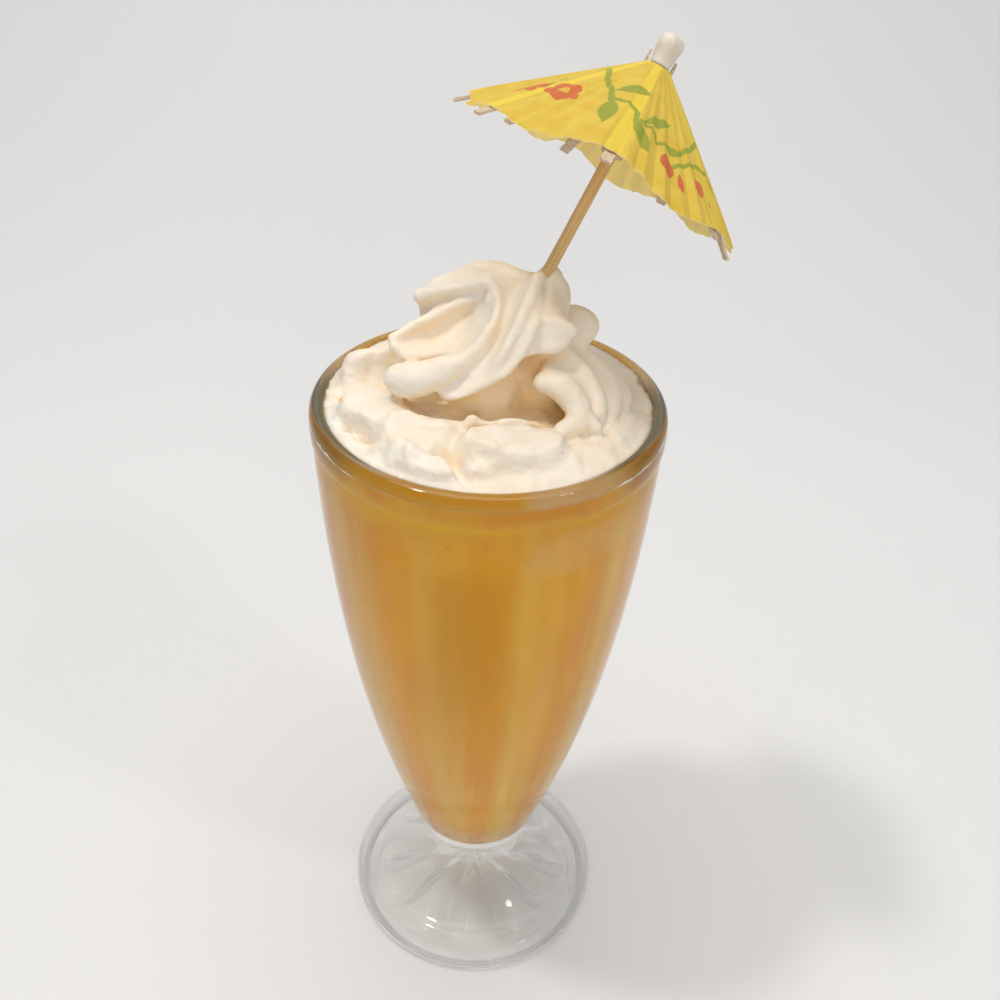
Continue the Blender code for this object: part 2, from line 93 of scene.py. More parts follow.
# Drink and cream
SHAKE_LEVEL = 176.5
CREAM_BASE = 181.6
CREAM_EDGE_DROP = 1.8
CREAM_FOOT = 176.2
CREAM_RADIUS = 39.05
REACH_INTO_WALL = 0.12

# Spooned cream bed: (x, y, half length, half width, turn in degrees, height, edge sharpness)
LUMPS = [
    (6.0, -24.5, 11.5, 7.5, 4.0, 4.4, 9.0),
    (3.5, -16.0, 10.0, 1.7, 3.0, 2.6, 4.0),
    (-4.5, -20.0, 1.6, 5.5, -8.0, 1.6, 4.0),
    (-1.5, -31.5, 4.5, 3.2, -15.0, 2.6, 5.0),
    (-15.5, -21.5, 9.5, 7.0, 30.0, 3.0, 6.0),
    (-12.5, -32.5, 6.5, 3.0, -22.0, 3.0, 6.0),
    (-19.0, -29.0, 4.0, 3.0, -40.0, 1.6, 4.0),
    (-26.0, -11.0, 9.5, 7.5, -45.0, 3.4, 6.0),
    (-32.5, 7.0, 3.6, 3.8, 40.0, 6.2, 3.0),
    (-26.0, 8.5, 3.4, 3.6, 0.0, 5.2, 3.0),
    (-18.0, 10.0, 6.0, 5.0, 0.0, 4.6, 3.0),
    (23.0, -24.0, 9.0, 6.0, 35.0, 1.4, 4.0),
    (29.5, -10.0, 4.5, 9.0, -10.0, 1.3, 4.0),
    (0.0, 14.0, 22.0, 14.0, 0.0, 6.0, 3.0),
]
DENTS = [
    (-29.5, -17.5, 5.8, 1.1, -45.0, 3.6, 3.0),
    (3.0, -18.5, 8.0, 1.2, 4.0, 2.4, 3.0),
    (-7.0, -30.5, 1.6, 5.0, 25.0, 2.2, 3.0),
    (31.5, 4.0, 4.5, 9.0, 0.0, 1.6, 3.0),
    (12.0, -18.0, 2.6, 2.2, 20.0, 2.0, 3.0),
]

# Crests of the piped swirl, each from its middle outwards: (x, y, z, radius)
CRESTS = {
    "plateau_back": [(11, 8, 207.5, 2.2), (6, 9.5, 207.5, 2.4), (2.5, 11.5, 208, 2.5),
                     (-1.5, 12.5, 208, 2.5), (-6, 13, 206.5, 2.3), (-10.5, 13, 204.5, 2),
                     (-13.5, 13, 203.5, 1.9)],
    "plateau_front": [(-1.5, 3.5, 209, 1.4), (-5, 5.5, 207, 1.4), (-9.5, 7.5, 205, 1.4), (-14, 9, 203, 1.6),
                      (-17, 10.5, 201.5, 2)],
    "plateau_side": [(-0.5, 5, 205.5, 1.8), (-4, 7, 202.5, 2.2), (-8, 9, 200, 2.6), (-12, 10.5, 197.5, 2.8),
                     (-15, 11, 197, 2.6)],
    "back_root": [(8, 9, 202, 4), (4, 10, 201, 4), (-1, 11, 200, 4), (-6, 11, 197.5, 4),
                  (-11.5, 11, 195, 3.5)],
    "wing_top": [(-2, 5, 206, 1.5), (-5, 6, 203, 1.5), (-9.5, 5.5, 201.5, 1.5), (-13.5, 3.5, 200, 1.5),
                 (-18, 1, 198.5, 1.5), (-22.5, -2, 196.5, 1.6)],
    "wing_foot": [(-0.5, 2, 205.5, 1.4), (-1.5, 1.5, 201, 1.6), (-6, 0, 196, 1.8), (-12, -2, 193, 2),
                  (-18, -4.5, 193.5, 1.8), (-22, -3.5, 195.5, 1.6)],
    "tongue": [(-1, 4, 209.5, 1.2), (1, 1, 206.5, 1.2), (1, -2, 203.5, 1.4), (-1, -5.5, 200.5, 1.6),
               (-5, -8, 195.5, 2.5), (-11, -10, 193, 3.5), (-17, -10, 190.5, 4.4), (-20.5, -9, 190, 3.9)],
    "strip_floor": [(5.5, 5, 205.5, 1.8), (4, 0.5, 203, 1.8), (2, -3, 199, 1.8), (-1.5, -7, 195, 1.8),
                    (-4.5, -9.5, 192, 1.8), (-9, -10.5, 189.5, 1.6)],
    "long_ridge": [(10, 2, 211, 1.8), (8.5, -1.5, 208, 1.8), (7, -4.5, 205, 1.7), (5, -7.5, 202, 1.5),
                   (3, -10.5, 198.5, 1.3), (0.5, -12, 194.5, 1.2), (-1, -12.5, 192, 1.1)],
    "lower_lip": [(10, -5.5, 204, 1.3), (8, -9, 200.5, 1.2), (6, -11, 197, 1.2), (3, -13, 194.5, 1.1),
                  (-2.5, -13.5, 191, 1.1), (-7.5, -13.5, 188.5, 1.1), (-10.5, -12, 188.5, 1.3)],
    "mound": [(13, 5.5, 210, 3), (14.5, 6, 205, 3.6), (14, 3, 200, 3.6), (11.5, -2, 196, 3)],
    "nub_top": [(12, -4, 203.5, 1.8), (15, -4, 203, 1.9), (18, -4.5, 201.5, 1.6)],
    "nub_foot": [(11, -6.5, 198.5, 2), (14, -7, 198.5, 1.8), (16.5, -6, 199.5, 1.4)],
    "right_lobe": [(17, 8.5, 199, 2.6), (21, 8.5, 198.5, 2.8), (23, 7.5, 196, 2.6), (19.5, 4, 192.5, 2)],
    "lobe_root": [(15, 6, 198, 3.5), (15, 4, 195, 4), (16, 2, 191, 4), (17, 0, 187, 4)],
    "first_fold": [(15.5, -2, 196.5, 1.6), (21, -5, 192.5, 1.7), (24.5, -9, 188, 2),
                   (24.5, -13, 184.5, 2.6)],
    "second_fold": [(22.5, 3, 191.5, 1.8), (28, -1.5, 188, 1.7), (29, -7, 184.5, 2), (27, -12, 182.5, 2.4)],
    "outer_fold": [(27, 6, 188, 1.3), (31, 2.5, 185.5, 1.2), (32.5, -2.5, 183.5, 1.3),
                   (30.5, -8, 181.5, 1.8)],
    "hook": [(12, -11, 191.5, 2.6), (16, -12, 191, 3.4), (19.5, -14, 188, 3.3), (20, -17, 185.5, 3),
             (16.5, -19, 184, 2.4)],
    "small_curl": [(22.5, -16.5, 185.5, 2.2), (24, -18, 184, 2)],
    "heart": [(-1, 0.5, 184, 11), (1, 3, 192, 9), (3, 6, 200, 7)],
    "right_heart": [(12, 2, 186, 9), (14, 2, 188, 7.5), (16, 2, 190, 6)],
}
# Cream between two crests: the stretch that it spans, and how far it is pushed in halfway (x, y, z)
WEBS = [
    ("plateau_back", "plateau_front", 0.0, 1.0, (0.0, 0.0, -0.8)),
    ("plateau_back", "back_root", 0.0, 1.0, (0.0, 0.5, 0.0)),
    ("plateau_front", "plateau_side", 0.0, 1.0, (0.3, 0.8, 0.0)),
    ("plateau_side", "wing_top", 0.0, 0.7, (0.5, 1.5, 0.0)),
    ("wing_top", "wing_foot", 0.0, 1.0, (0.8, 3.2, -1.0)),
    ("wing_foot", "tongue", 0.0, 0.62, (0.4, 1.5, -0.3)),
    ("tongue", "strip_floor", 0.0, 0.55, (0.0, 1.5, -0.3)),
    ("strip_floor", "long_ridge", 0.0, 1.0, (0.3, 0.8, -0.3)),
    ("long_ridge", "lower_lip", 0.0, 1.0, (0.0, 0.6, -0.3)),
    ("strip_floor", "lower_lip", 0.6, 1.0, (0.0, 0.5, 0.0)),
    ("long_ridge", "mound", 0.0, 0.75, (0.0, 2.0, -1.0)),
    ("plateau_back", "mound", 0.0, 0.4, (0.0, 0.5, -0.5)),
    ("nub_top", "nub_foot", 0.0, 1.0, (0.0, -0.3, 0.0)),
    ("nub_top", "mound", 0.0, 1.0, (0.0, 0.5, -0.5)),
    ("lower_lip", "nub_foot", 0.0, 0.3, (0.0, 1.0, 0.0)),
    ("right_lobe", "lobe_root", 0.0, 1.0, (0.0, 0.0, 0.0)),
    ("first_fold", "second_fold", 0.0, 1.0, (-0.5, 1.2, -1.0)),
    ("second_fold", "outer_fold", 0.0, 1.0, (-0.5, 1.0, -0.7)),
    ("first_fold", "hook", 0.0, 0.6, (-0.3, 1.4, -1.0)),
]
WEB_LAYERS = 10
WEB_THINNING = 0.85
WEB_FULL_PUSH = 8.0
SHELTER_REACH = 25.0

# Umbrella, along and round its own axis
STICK_LEAN = Vector((0.444, 0.313, 0.840)).normalized()
CANOPY_CENTRE = Vector((23.3, 12.0, 232.6))
CANOPY_RADIUS = 34.0
CANOPY_HEIGHT = 25.3
CANOPY_HOLE = 2.9
PAPER_THICKNESS = 0.3
PLEATS = 38
SCALLOP_DEPTH = 1.5
EDGE_SAG = 2.6
PAPER_BULGE = 1.0
STICK_FOOT = -65.5
STICK_TOP = 29.5
CAP_RADIUS = 2.95
CAP_BOTTOM = 24.4
CAP_TOP = 31.3
RIBS = [
    (3, 2.8, 0.0),
    (46, -1.5, 1.5),
    (95, 0.5, 2.8),
    (125, 0.5, 1.5),
    (167, 2.2, 0.0),
    (203, 0.8, -2.2),
    (256, 0.8, 0.8),
    (310, -0.3, -1.6),
]
RIB_WIDTH = 2.4
RIB_THICKNESS = 0.6
RIB_DROP = 0.7
RIB_START = 4.6
RIB_CUT = 0.1
STRUT_FOOT = (3.2, 5.6)
STRUT_REACH = 16.0
STRUT_WIDTH = 1.0
STRUT_THICKNESS = 0.6
STRUT_GAP = 0.2
SPLIT_SEED = 1
RUNNER = (3.4, 7.4)
HUB = (17.8, 24.1)
HUB_RADIUS = 2.6
FIN_ANGLES = (3, 46, 167)
FIN_HALF_WIDTH = 0.42
FIN = [(2.0, 23.3), (3.2, 23.3), (3.5, 24.2), (3.4, 26.5), (2.95, 26.7), (2.85, 24.3), (2.0, 24.1)]

# Print on the paper, in millimetres on the umbrella seen along its axis
LEAVES = [
    ((-9.1, -12.3), (-1.4, -13.2), 1.6),
    ((-9.0, -16.3), (-10.6, -24.4), 2.0),
    ((-2.6, -21.3), (4.9, -14.6), 1.2),
    ((-4.5, -21.5), (-0.2, -27.8), 1.9),
    ((9.6, -4.2), (12.9, -7.4), 1.0),
    ((3.6, -21.2), (8.0, -19.6), 1.1),
    ((16.4, -14.6), (20.4, -17.4), 1.5),
    ((-14.6, -0.6), (-12.2, 0.0), 0.9),
    ((-18.6, -4.4), (-16.4, -0.8), 0.8),
]
VINES = [
    ((-9.7, -0.6), (-10.3, -8.0), 0.55),
    ((-10.3, -8.0), (-9.3, -12.8), 0.6),
    ((-9.3, -12.8), (-9.4, -16.6), 0.6),
    ((-9.0, -16.2), (-6.0, -17.8), 0.45),
    ((-6.0, -17.8), (-4.0, -19.6), 0.5),
    ((-4.0, -19.6), (-4.2, -22.0), 0.6),
    ((-3.8, -21.6), (0.8, -21.0), 0.4),
    ((0.8, -21.0), (1.6, -22.4), 0.4),
    ((1.6, -22.4), (3.9, -21.2), 0.4),
    ((7.1, -20.4), (10.4, -16.1), 0.5),
    ((10.4, -16.1), (13.6, -8.0), 0.5),
    ((13.6, -8.0), (11.6, -5.8), 0.45),
    ((6.9, -23.3), (10.4, -20.2), 0.45),
    ((10.4, -20.2), (14.1, -16.7), 0.45),
    ((14.1, -16.7), (16.8, -15.2), 0.45),
    ((-21.0, -7.5), (-18.6, -4.4), 0.4),
]
BUDS = [
    ((4.6, -22.6), (5.9, -27.0), 2.3),
    ((8.4, -23.8), (10.4, -27.4), 1.0),
    ((12.6, -21.2), (16.0, -22.8), 1.7),
    ((17.5, -21.1), (18.8, -22.8), 0.5),
    ((19.0, -12.6), (20.4, -13.6), 0.6),
]
FLOWERS = [
    (-17.9, -11.4, 4.1, 20.0),
    (-22.8, -4.2, 3.8, 50.0),
]
FLOWER_NARROWING = 1.33

# Camera, in millimetres from the glass's axis, and in degrees
CAMERA_BACK = 226.5
CAMERA_HEIGHT = 313.6
CAMERA_PITCH = math.radians(35.70)
CAMERA_YAW = math.radians(0.91)
CAMERA_ROLL = math.radians(2.47)
CAMERA_LENS = 39.406
SWEEP_START = 330.0
SWEEP_RADIUS = 420.0
FLOOR_FRONT = (-1500.0, -400.0)
FLOOR_HALF_WIDTH = 2200.0
BACKDROP_HEIGHT = 1800.0


# Places


def umbrella_turn():
    """Rotation from the umbrella's own axes to the glass's."""
    axis_x = Vector((0.0, 1.0, 0.0)).cross(STICK_LEAN).normalized()
    axis_y = STICK_LEAN.cross(axis_x)
    return Matrix((axis_x, axis_y, STICK_LEAN)).transposed()


def umbrella_place():
    return Matrix.Translation(CANOPY_CENTRE) @ umbrella_turn().to_4x4()


# Meshes


def mesh_from(name, vertices, faces, place=None):
    """A mesh from vertices in millimetres, set in the packed model's frame."""
    points = [Vector(v) for v in vertices]
    if place:
        points = [place @ p for p in points]
    mesh = bpy.data.meshes.new(name)
    mesh.from_pydata([p * MM for p in points], [], faces)
    mesh.transform(Matrix.Translation(GLASS_AXIS))
    mesh.update()
    work = bmesh.new()
    work.from_mesh(mesh)
    bmesh.ops.recalc_face_normals(work, faces=work.faces)
    work.to_mesh(mesh)
    work.free()
    return mesh


def finish_piece(name, mesh, material, nodes, smooth_angle=60.0):
    """Shows a mesh as one piece of the milkshake, in place of the packed model's nodes."""
    mesh.shade_smooth()
    mesh.set_sharp_from_angle(angle=math.radians(smooth_angle))
    mesh.materials.clear()
    mesh.materials.append(material)
    piece = bpy.data.objects.new(name, mesh)
    bpy.context.scene.collection.objects.link(piece)
    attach(piece, "root")
    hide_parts(*nodes)
    return piece


def store_numbers(mesh, name, values):
    """Stores a number with each point of a mesh."""
    attribute = mesh.attributes.new(name, "FLOAT", "POINT")
    for entry, value in zip(attribute.data, values):
        entry.value = value


def store_vectors(mesh, name, values):
    """Stores a vector with each point of a mesh."""
    attribute = mesh.attributes.new(name, "FLOAT_VECTOR", "POINT")
    for entry, value in zip(attribute.data, values):
        entry.vector = value


def keep_place(mesh, place):
    """Stores each point's own place on the umbrella, in metres, for grain that follows it."""
    back = (Matrix.Translation(GLASS_AXIS) @ Matrix.Scale(MM, 4) @ place).inverted()
    store_vectors(mesh, "own_place", [back @ vertex.co * MM for vertex in mesh.vertices])


def curve_through(points, steps):
    """Points on a smooth curve through an outline's points."""
    ends = [points[0]] + list(points) + [points[-1]]
    curve = []
    for before, start, end, after in zip(ends, ends[1:], ends[2:], ends[3:]):
        for step in range(steps):
            t = step / steps
            spot = []
            for p0, p1, p2, p3 in zip(before, start, end, after):
                slope = p2 - p0
                bend = 2.0 * p0 - 5.0 * p1 + 4.0 * p2 - p3
                twist = 3.0 * p1 - p0 - 3.0 * p2 + p3
                spot.append(0.5 * (2.0 * p1 + t * slope + t * t * bend + t * t * t * twist))
            curve.append(tuple(spot))
    curve.append(tuple(points[-1]))
    return curve


def ridge(angle, turn):
    """1 on each sharp ridge between arched flutes, 0 in the middle of a flute; in degrees."""
    return 1.0 - abs(math.sin(math.radians(0.5 * FLUTES * (angle - turn))))


def ring(radius, height, segments, wall_ridge=0.0, floor_ridge=0.0):
    points = []
    for step in range(segments):
        angle = 360.0 * step / segments
        r = radius - wall_ridge * ridge(angle, FLUTE_TURN)
        z = height - floor_ridge * ridge(angle, FOOT_RIDGE_TURN)
        points.append((r * math.cos(math.radians(angle)), r * math.sin(math.radians(angle)), z))
    return points


def lathe(name, rings, bottom=None, top=None, place=None):
    """A solid through rings of equal length, closed by poles, or ring to ring without them."""
    count = len(rings[0])
    vertices = [point for points in rings for point in points]
    faces = []
    levels = len(rings) if bottom is None else len(rings) - 1
    for level in range(levels):
        low = level * count
        high = (level + 1) % len(rings) * count
        for step in range(count):
            following = (step + 1) % count
            faces.append((low + step, low + following, high + following, high + step))
    if bottom is not None:
        vertices += [bottom, top]
        final = (len(rings) - 1) * count
        for step in range(count):
            following = (step + 1) % count
            faces.append((len(vertices) - 2, following, step))
            faces.append((len(vertices) - 1, final + step, final + following))
    return mesh_from(name, vertices, faces, place)


def bowl_radius(height):
    """The bowl's outer radius: a steep swell from its foot that eases into a slight flare."""
    share = (height - BOWL_FOOT[1]) / (BOWL_BRIM[1] - BOWL_FOOT[1])
    growth = (1.0 - BOWL_FLARE) * (1.0 - (1.0 - share) ** BOWL_SWELL) + BOWL_FLARE * share
    return BOWL_FOOT[0] + (BOWL_BRIM[0] - BOWL_FOOT[0]) * growth


def wall_outline(thickness, depth, steps=46):
    """Inner side from the top of the flutes down: (radius, height, flute depth)."""
    outline = []
    for step in range(steps + 1):
        z = WALL_BOTTOM + (FLUTE_TOP - WALL_BOTTOM) * (1.0 - step / steps) ** 1.2
        fade = min(1.0, (FLUTE_TOP - z) / 5.0)
        outline.append((bowl_radius(z) - thickness, z, fade * depth))
    low_radius = outline[-1][0]
    floor_depth = BOTTOM_DEPTH + WALL_THICKNESS - thickness
    for step in range(1, 12):
        turn = math.radians(90.0 * step / 12)
        share = max(0.0, 1.0 - step / 8)
        z = WALL_BOTTOM - floor_depth * math.sin(turn)
        outline.append((low_radius * math.cos(turn), z, share * depth))
    return outline


def glass_mesh(settings):
    """Foot with a ridged hollow underneath, collar, bowl, rolled rim and fluted inside."""
    rings = []
    for radius, height in curve_through(UNDERSIDE, 8):
        share = min(1.0, radius / 20.0) * min(1.0, max(0.0, (31.0 - radius) / 5.0))
        rings.append(ring(radius, height, GLASS_SEGMENTS, 0.0, share * FOOT_RIDGE_DEPTH))
    outside = curve_through(FOOT_EDGE, 5) + curve_through(FOOT_TOP, 6) + curve_through(COLLAR, 4)[:-1]
    steps = 40
    for step in range(steps + 1):
        z = BOWL_FOOT[1] + (BOWL_BRIM[1] - BOWL_FOOT[1]) * (step / steps) ** 1.2
        outside.append((bowl_radius(z), z))
    outside = [point for point in outside if point[1] < RIM_START] + curve_through(RIM, 6)
    outside += [RIM_INSIDE, (WALL_TOP_RADIUS, WALL_TOP_HEIGHT)]
    rings += [ring(radius, height, GLASS_SEGMENTS) for radius, height in outside]
    thickness = settings.wall_thickness / MM
    depth = settings.flute_depth / MM
    for radius, height, flute in wall_outline(thickness, depth):
        rings.append(ring(radius, height, GLASS_SEGMENTS, flute))
    floor = WALL_BOTTOM - BOTTOM_DEPTH
    return lathe("glass_mesh", rings, (0.0, 0.0, UNDERSIDE[0][1]), (0.0, 0.0, floor))


def shake_mesh(settings):
    """The drink, reaching just into the fluted wall so that no air shows between them."""
    thickness = WALL_THICKNESS - REACH_INTO_WALL
    rings = []
    for radius, height, flute in reversed(wall_outline(thickness, FLUTE_DEPTH)):
        rings.append(ring(radius, height, GLASS_SEGMENTS, flute))
    level = settings.level / MM
    top_radius = WALL_TOP_RADIUS + REACH_INTO_WALL
    for height in (WALL_TOP_HEIGHT, 0.5 * (WALL_TOP_HEIGHT + level), level):
        rings.append(ring(top_radius, height, GLASS_SEGMENTS))
    rings.append(ring(0.5 * top_radius, level, GLASS_SEGMENTS))
    floor = WALL_BOTTOM - BOTTOM_DEPTH - REACH_INTO_WALL
    return lathe("milkshake_mesh", rings, (0.0, 0.0, floor), (0.0, 0.0, level))


def plateau(x, y, lump):
    """Height of one lump or dent at a point: flat in its middle, falling off at its edge."""
    centre_x, centre_y, length, width, turn, height, sharpness = lump
    c = math.cos(math.radians(turn))
    s = math.sin(math.radians(turn))
    along = ((x - centre_x) * c + (y - centre_y) * s) / length
    across = ((y - centre_y) * c - (x - centre_x) * s) / width
    return height / (1.0 + (along * along + across * across) ** sharpness)


def cream_height(x, y):
    """Top of the spooned bed, with small folds that the packed model leaves out."""
    sway = 1.6 * noise.noise(Vector((0.09 * x, 0.09 * y, 3.0)))
    folds = 0.5 * noise.noise(Vector((0.16 * x + sway, 0.3 * y + sway, 0.0)))
    folds += 0.25 * noise.noise(Vector((0.5 * x + sway, 0.5 * y, 7.0)))
    ripple = 0.25 * math.sin(0.55 * x + 0.9) * math.sin(0.48 * y - 0.4)
    wobble = 1.2 * noise.noise(Vector((0.2 * x, 0.2 * y, 11.0)))
    raised = sum(plateau(x + wobble, y + wobble, lump) for lump in LUMPS)
    sunk = sum(plateau(x, y, dent) for dent in DENTS)
    drop = CREAM_EDGE_DROP * (math.hypot(x, y) / CREAM_RADIUS) ** 8
    return CREAM_BASE + ripple + folds + raised - sunk - drop


def cream_bed():
    """The bed as a closed disc with a lumpy top."""
    segments = 240
    rings = [ring(CREAM_RADIUS, CREAM_FOOT, segments)]
    steps = 64
    for step in range(steps):
        radius = CREAM_RADIUS * (1.0 - step / steps)
        points = []
        for x, y, _ in ring(radius, 0.0, segments):
            points.append((x, y, cream_height(x, y)))
        rings.append(points)
    return lathe("cream_bed", rings, (0.0, 0.0, CREAM_FOOT), (0.0, 0.0, cream_height(0.0, 0.0)))


def along_crest(name, count):
    """Evenly numbered spots along a crest: (x, y, z, radius)."""
    fine = curve_through(CRESTS[name], 12)
    spots = []
    for step in range(count):
        spots.append(Vector(fine[round(step * (len(fine) - 1) / (count - 1))]))
    return spots


def swirl_points():
    """Points along the crests and over the webs between them, each with the cream's thickness there."""
    count = 40
    spots = []
    for name in CRESTS:
        spots += along_crest(name, count)
    for first, second, low, high, push in WEBS:
        pairs = list(zip(along_crest(first, count), along_crest(second, count)))
        for start, end in pairs[round(low * (count - 1)):round(high * (count - 1)) + 1]:
            strength = min(1.0, (end.xyz - start.xyz).length / WEB_FULL_PUSH)
            for layer in range(1, WEB_LAYERS + 1):
                share = layer / (WEB_LAYERS + 1)
                spot = start.lerp(end, share)
                inward = Vector(push) * (4.0 * strength * share * (1.0 - share))
                spots.append(Vector((*(spot.xyz + inward), WEB_THINNING * spot.w)))
    mesh = bpy.data.meshes.new("swirl_points")
    mesh.from_pydata([spot.xyz * MM + GLASS_AXIS for spot in spots], [], [])
    store_numbers(mesh, "thickness", [spot.w * MM for spot in spots])
    return mesh


# Geometry Nodes


class Growth:
    """A Geometry Nodes tree with named inputs that ends in real faces with a material."""

    def __init__(self, name):
        self.tree = bpy.data.node_groups.new(name, "GeometryNodeTree")
        self.inputs = {}
        self.tree.interface.new_socket("Geometry", in_out="OUTPUT", socket_type="NodeSocketGeometry")
        self.add_input("Points", "NodeSocketGeometry")
        self.add_input("Finish", "NodeSocketMaterial")
        self.entry = None

    def add_input(self, name, kind):
        socket = self.tree.interface.new_socket(name, in_out="INPUT", socket_type=kind)
        self.inputs[name] = socket.identifier

    def given(self, name):
        if self.entry is None:
            self.entry = self.tree.nodes.new("NodeGroupInput")
        return self.entry.outputs[name]

    def add(self, kind, settings=None, inputs=None):
        """Adds a node: its settings first, then the values or links of its sockets."""
        node = self.tree.nodes.new(kind)
        for key, value in (settings or {}).items():
            setattr(node, key, value)
        for key, value in (inputs or {}).items():
            if isinstance(value, bpy.types.NodeSocket):
                self.tree.links.new(value, node.inputs[key])
            else:
                node.inputs[key].default_value = value
        return node

    def end(self, geometry):
        real = self.add("GeometryNodeRealizeInstances", None, {"Geometry": geometry})
        coated = self.add("GeometryNodeSetMaterial", None,
                          {"Geometry": real.outputs[0], "Material": self.given("Finish")})
        out = self.tree.nodes.new("NodeGroupOutput")
        self.tree.links.new(coated.outputs[0], out.inputs[0])

    def grow(self, points, values):
        """The plain mesh that the tree makes of some points."""
        carrier = bpy.data.objects.new("carrier", points)
        bpy.context.scene.collection.objects.link(carrier)
        modifier = carrier.modifiers.new("grow", "NODES")
        modifier.node_group = self.tree
        for name, value in values.items():
            modifier[self.inputs[name]] = value
        mesh = mesh_made_of(carrier)
        bpy.data.objects.remove(carrier)
        return mesh


def mesh_made_of(obj):
    """What an object's modifiers make of it, as a plain mesh."""
    evaluated = obj.evaluated_get(bpy.context.evaluated_depsgraph_get())
    return bpy.data.meshes.new_from_object(evaluated)


def swirl_tree():
    """Fuses round dabs of cream, each as large as the cream is thick at its point, into one skin."""
    growth = Growth("piped_swirl")
    growth.add_input("Fineness", "NodeSocketFloat")
    thickness = growth.add("GeometryNodeInputNamedAttribute", {"data_type": "FLOAT"}, {"Name": "thickness"})
    dabs = growth.add("GeometryNodeMeshToPoints", None,
                      {"Mesh": growth.given("Points"), "Radius": thickness.outputs["Attribute"]})
    body = growth.add("GeometryNodePointsToVolume", {"resolution_mode": "VOXEL_SIZE"}, {
        "Points": dabs.outputs[0],
        "Density": 1.0,
        "Voxel Size": growth.given("Fineness"),
        "Radius": thickness.outputs["Attribute"],
    })
    skin = growth.add("GeometryNodeVolumeToMesh", {"resolution_mode": "GRID"},
                      {"Volume": body.outputs[0], "Threshold": 0.5})
    growth.end(skin.outputs[0])
    return growth


def slat_tree():
    """A split slat on each point, turned and sized by the point, and narrower at its start."""
    growth = Growth("slats")
    growth.add_input("Narrow End", "NodeSocketFloat")
    block = growth.add("GeometryNodeMeshCube", None,
                       {"Size": (1.0, 1.0, 1.0), "Vertices X": 14, "Vertices Y": 4, "Vertices Z": 3})
    position = growth.add("GeometryNodeInputPosition")
    parts = growth.add("ShaderNodeSeparateXYZ", None, {0: position.outputs[0]})
    width = growth.add("ShaderNodeMapRange", None, {
        "Value": parts.outputs["X"],
        "From Min": -0.5,
        "From Max": 0.5,
        "To Min": growth.given("Narrow End"),
        "To Max": 1.0,
    })
    side = growth.add("ShaderNodeMath", {"operation": "MULTIPLY"},
                      {0: parts.outputs["Y"], 1: width.outputs["Result"]})
    moved = growth.add("ShaderNodeCombineXYZ", None,
                       {"X": parts.outputs["X"], "Y": side.outputs[0], "Z": parts.outputs["Z"]})
    tapered = growth.add("GeometryNodeSetPosition", None,
                         {"Geometry": block.outputs["Mesh"], "Position": moved.outputs[0]})
    turn = growth.add("GeometryNodeInputNamedAttribute", {"data_type": "FLOAT_VECTOR"}, {"Name": "turn"})
    size = growth.add("GeometryNodeInputNamedAttribute", {"data_type": "FLOAT_VECTOR"}, {"Name": "size"})
    placed = growth.add("GeometryNodeInstanceOnPoints", None, {
        "Points": growth.given("Points"),
        "Instance": tapered.outputs["Geometry"],
        "Rotation": turn.outputs["Attribute"],
        "Scale": size.outputs["Attribute"],
    })
    growth.end(placed.outputs[0])
    return growth


# Cream


def make_cream_mesh(settings, material):
    """Bed and swirl fused into one body, then softened and given fine folds."""
    swirl = swirl_tree().grow(swirl_points(), {"Fineness": 0.8 * settings.fineness, "Finish": material})
    work = bmesh.new()
    work.from_mesh(cream_bed())
    work.from_mesh(swirl)
    fused = bpy.data.meshes.new("whipped_cream_mesh")
    work.to_mesh(fused)
    work.free()
    carrier = bpy.data.objects.new("cream_carrier", fused)
    bpy.context.scene.collection.objects.link(carrier)
    remesh = carrier.modifiers.new("fuse", "REMESH")
    remesh.mode = "VOXEL"
    remesh.voxel_size = settings.fineness
    soften = carrier.modifiers.new("soften", "SMOOTH")
    soften.factor = 0.5
    soften.iterations = 3
    mesh = mesh_made_of(carrier)
    bpy.data.objects.remove(carrier)
    shape_cream(mesh, settings.fold_depth / MM)
    note_shelter(mesh)
    return mesh


def shape_cream(mesh, fold_depth):
    """Fine folds along the surface; the rim of the bed is pressed against the glass."""
    axis = GLASS_AXIS
    normals = [vertex.normal.copy() for vertex in mesh.vertices]
    for vertex, normal in zip(mesh.vertices, normals):
        spot = (vertex.co - axis) / MM
        swirl = Vector((spot.x * 0.22, spot.y * 0.22, spot.z * 0.3))
        depth = noise.noise(swirl + Vector((4.0, 1.0, 9.0)))
        depth += 0.45 * noise.noise(swirl * 3.1)
        depth += 0.16 * noise.noise(swirl * 8.0)
        torn = max(0.0, min(1.0, 0.5 * (187.0 - spot.z)))
        depth += torn * (0.8 * noise.noise(spot * 0.4) + 0.5 * noise.noise(spot * 1.1))
        spot += normal * depth * fold_depth
        radius = math.hypot(spot.x, spot.y)
        if radius > CREAM_RADIUS - 0.9 and spot.z < 180.6:
            wall = CREAM_RADIUS - 0.3 + 0.12 * max(0.0, spot.z - 177.0)
            spot.x *= (wall + REACH_INTO_WALL) / radius
            spot.y *= (wall + REACH_INTO_WALL) / radius
        vertex.co = spot * MM + axis
    mesh.update()


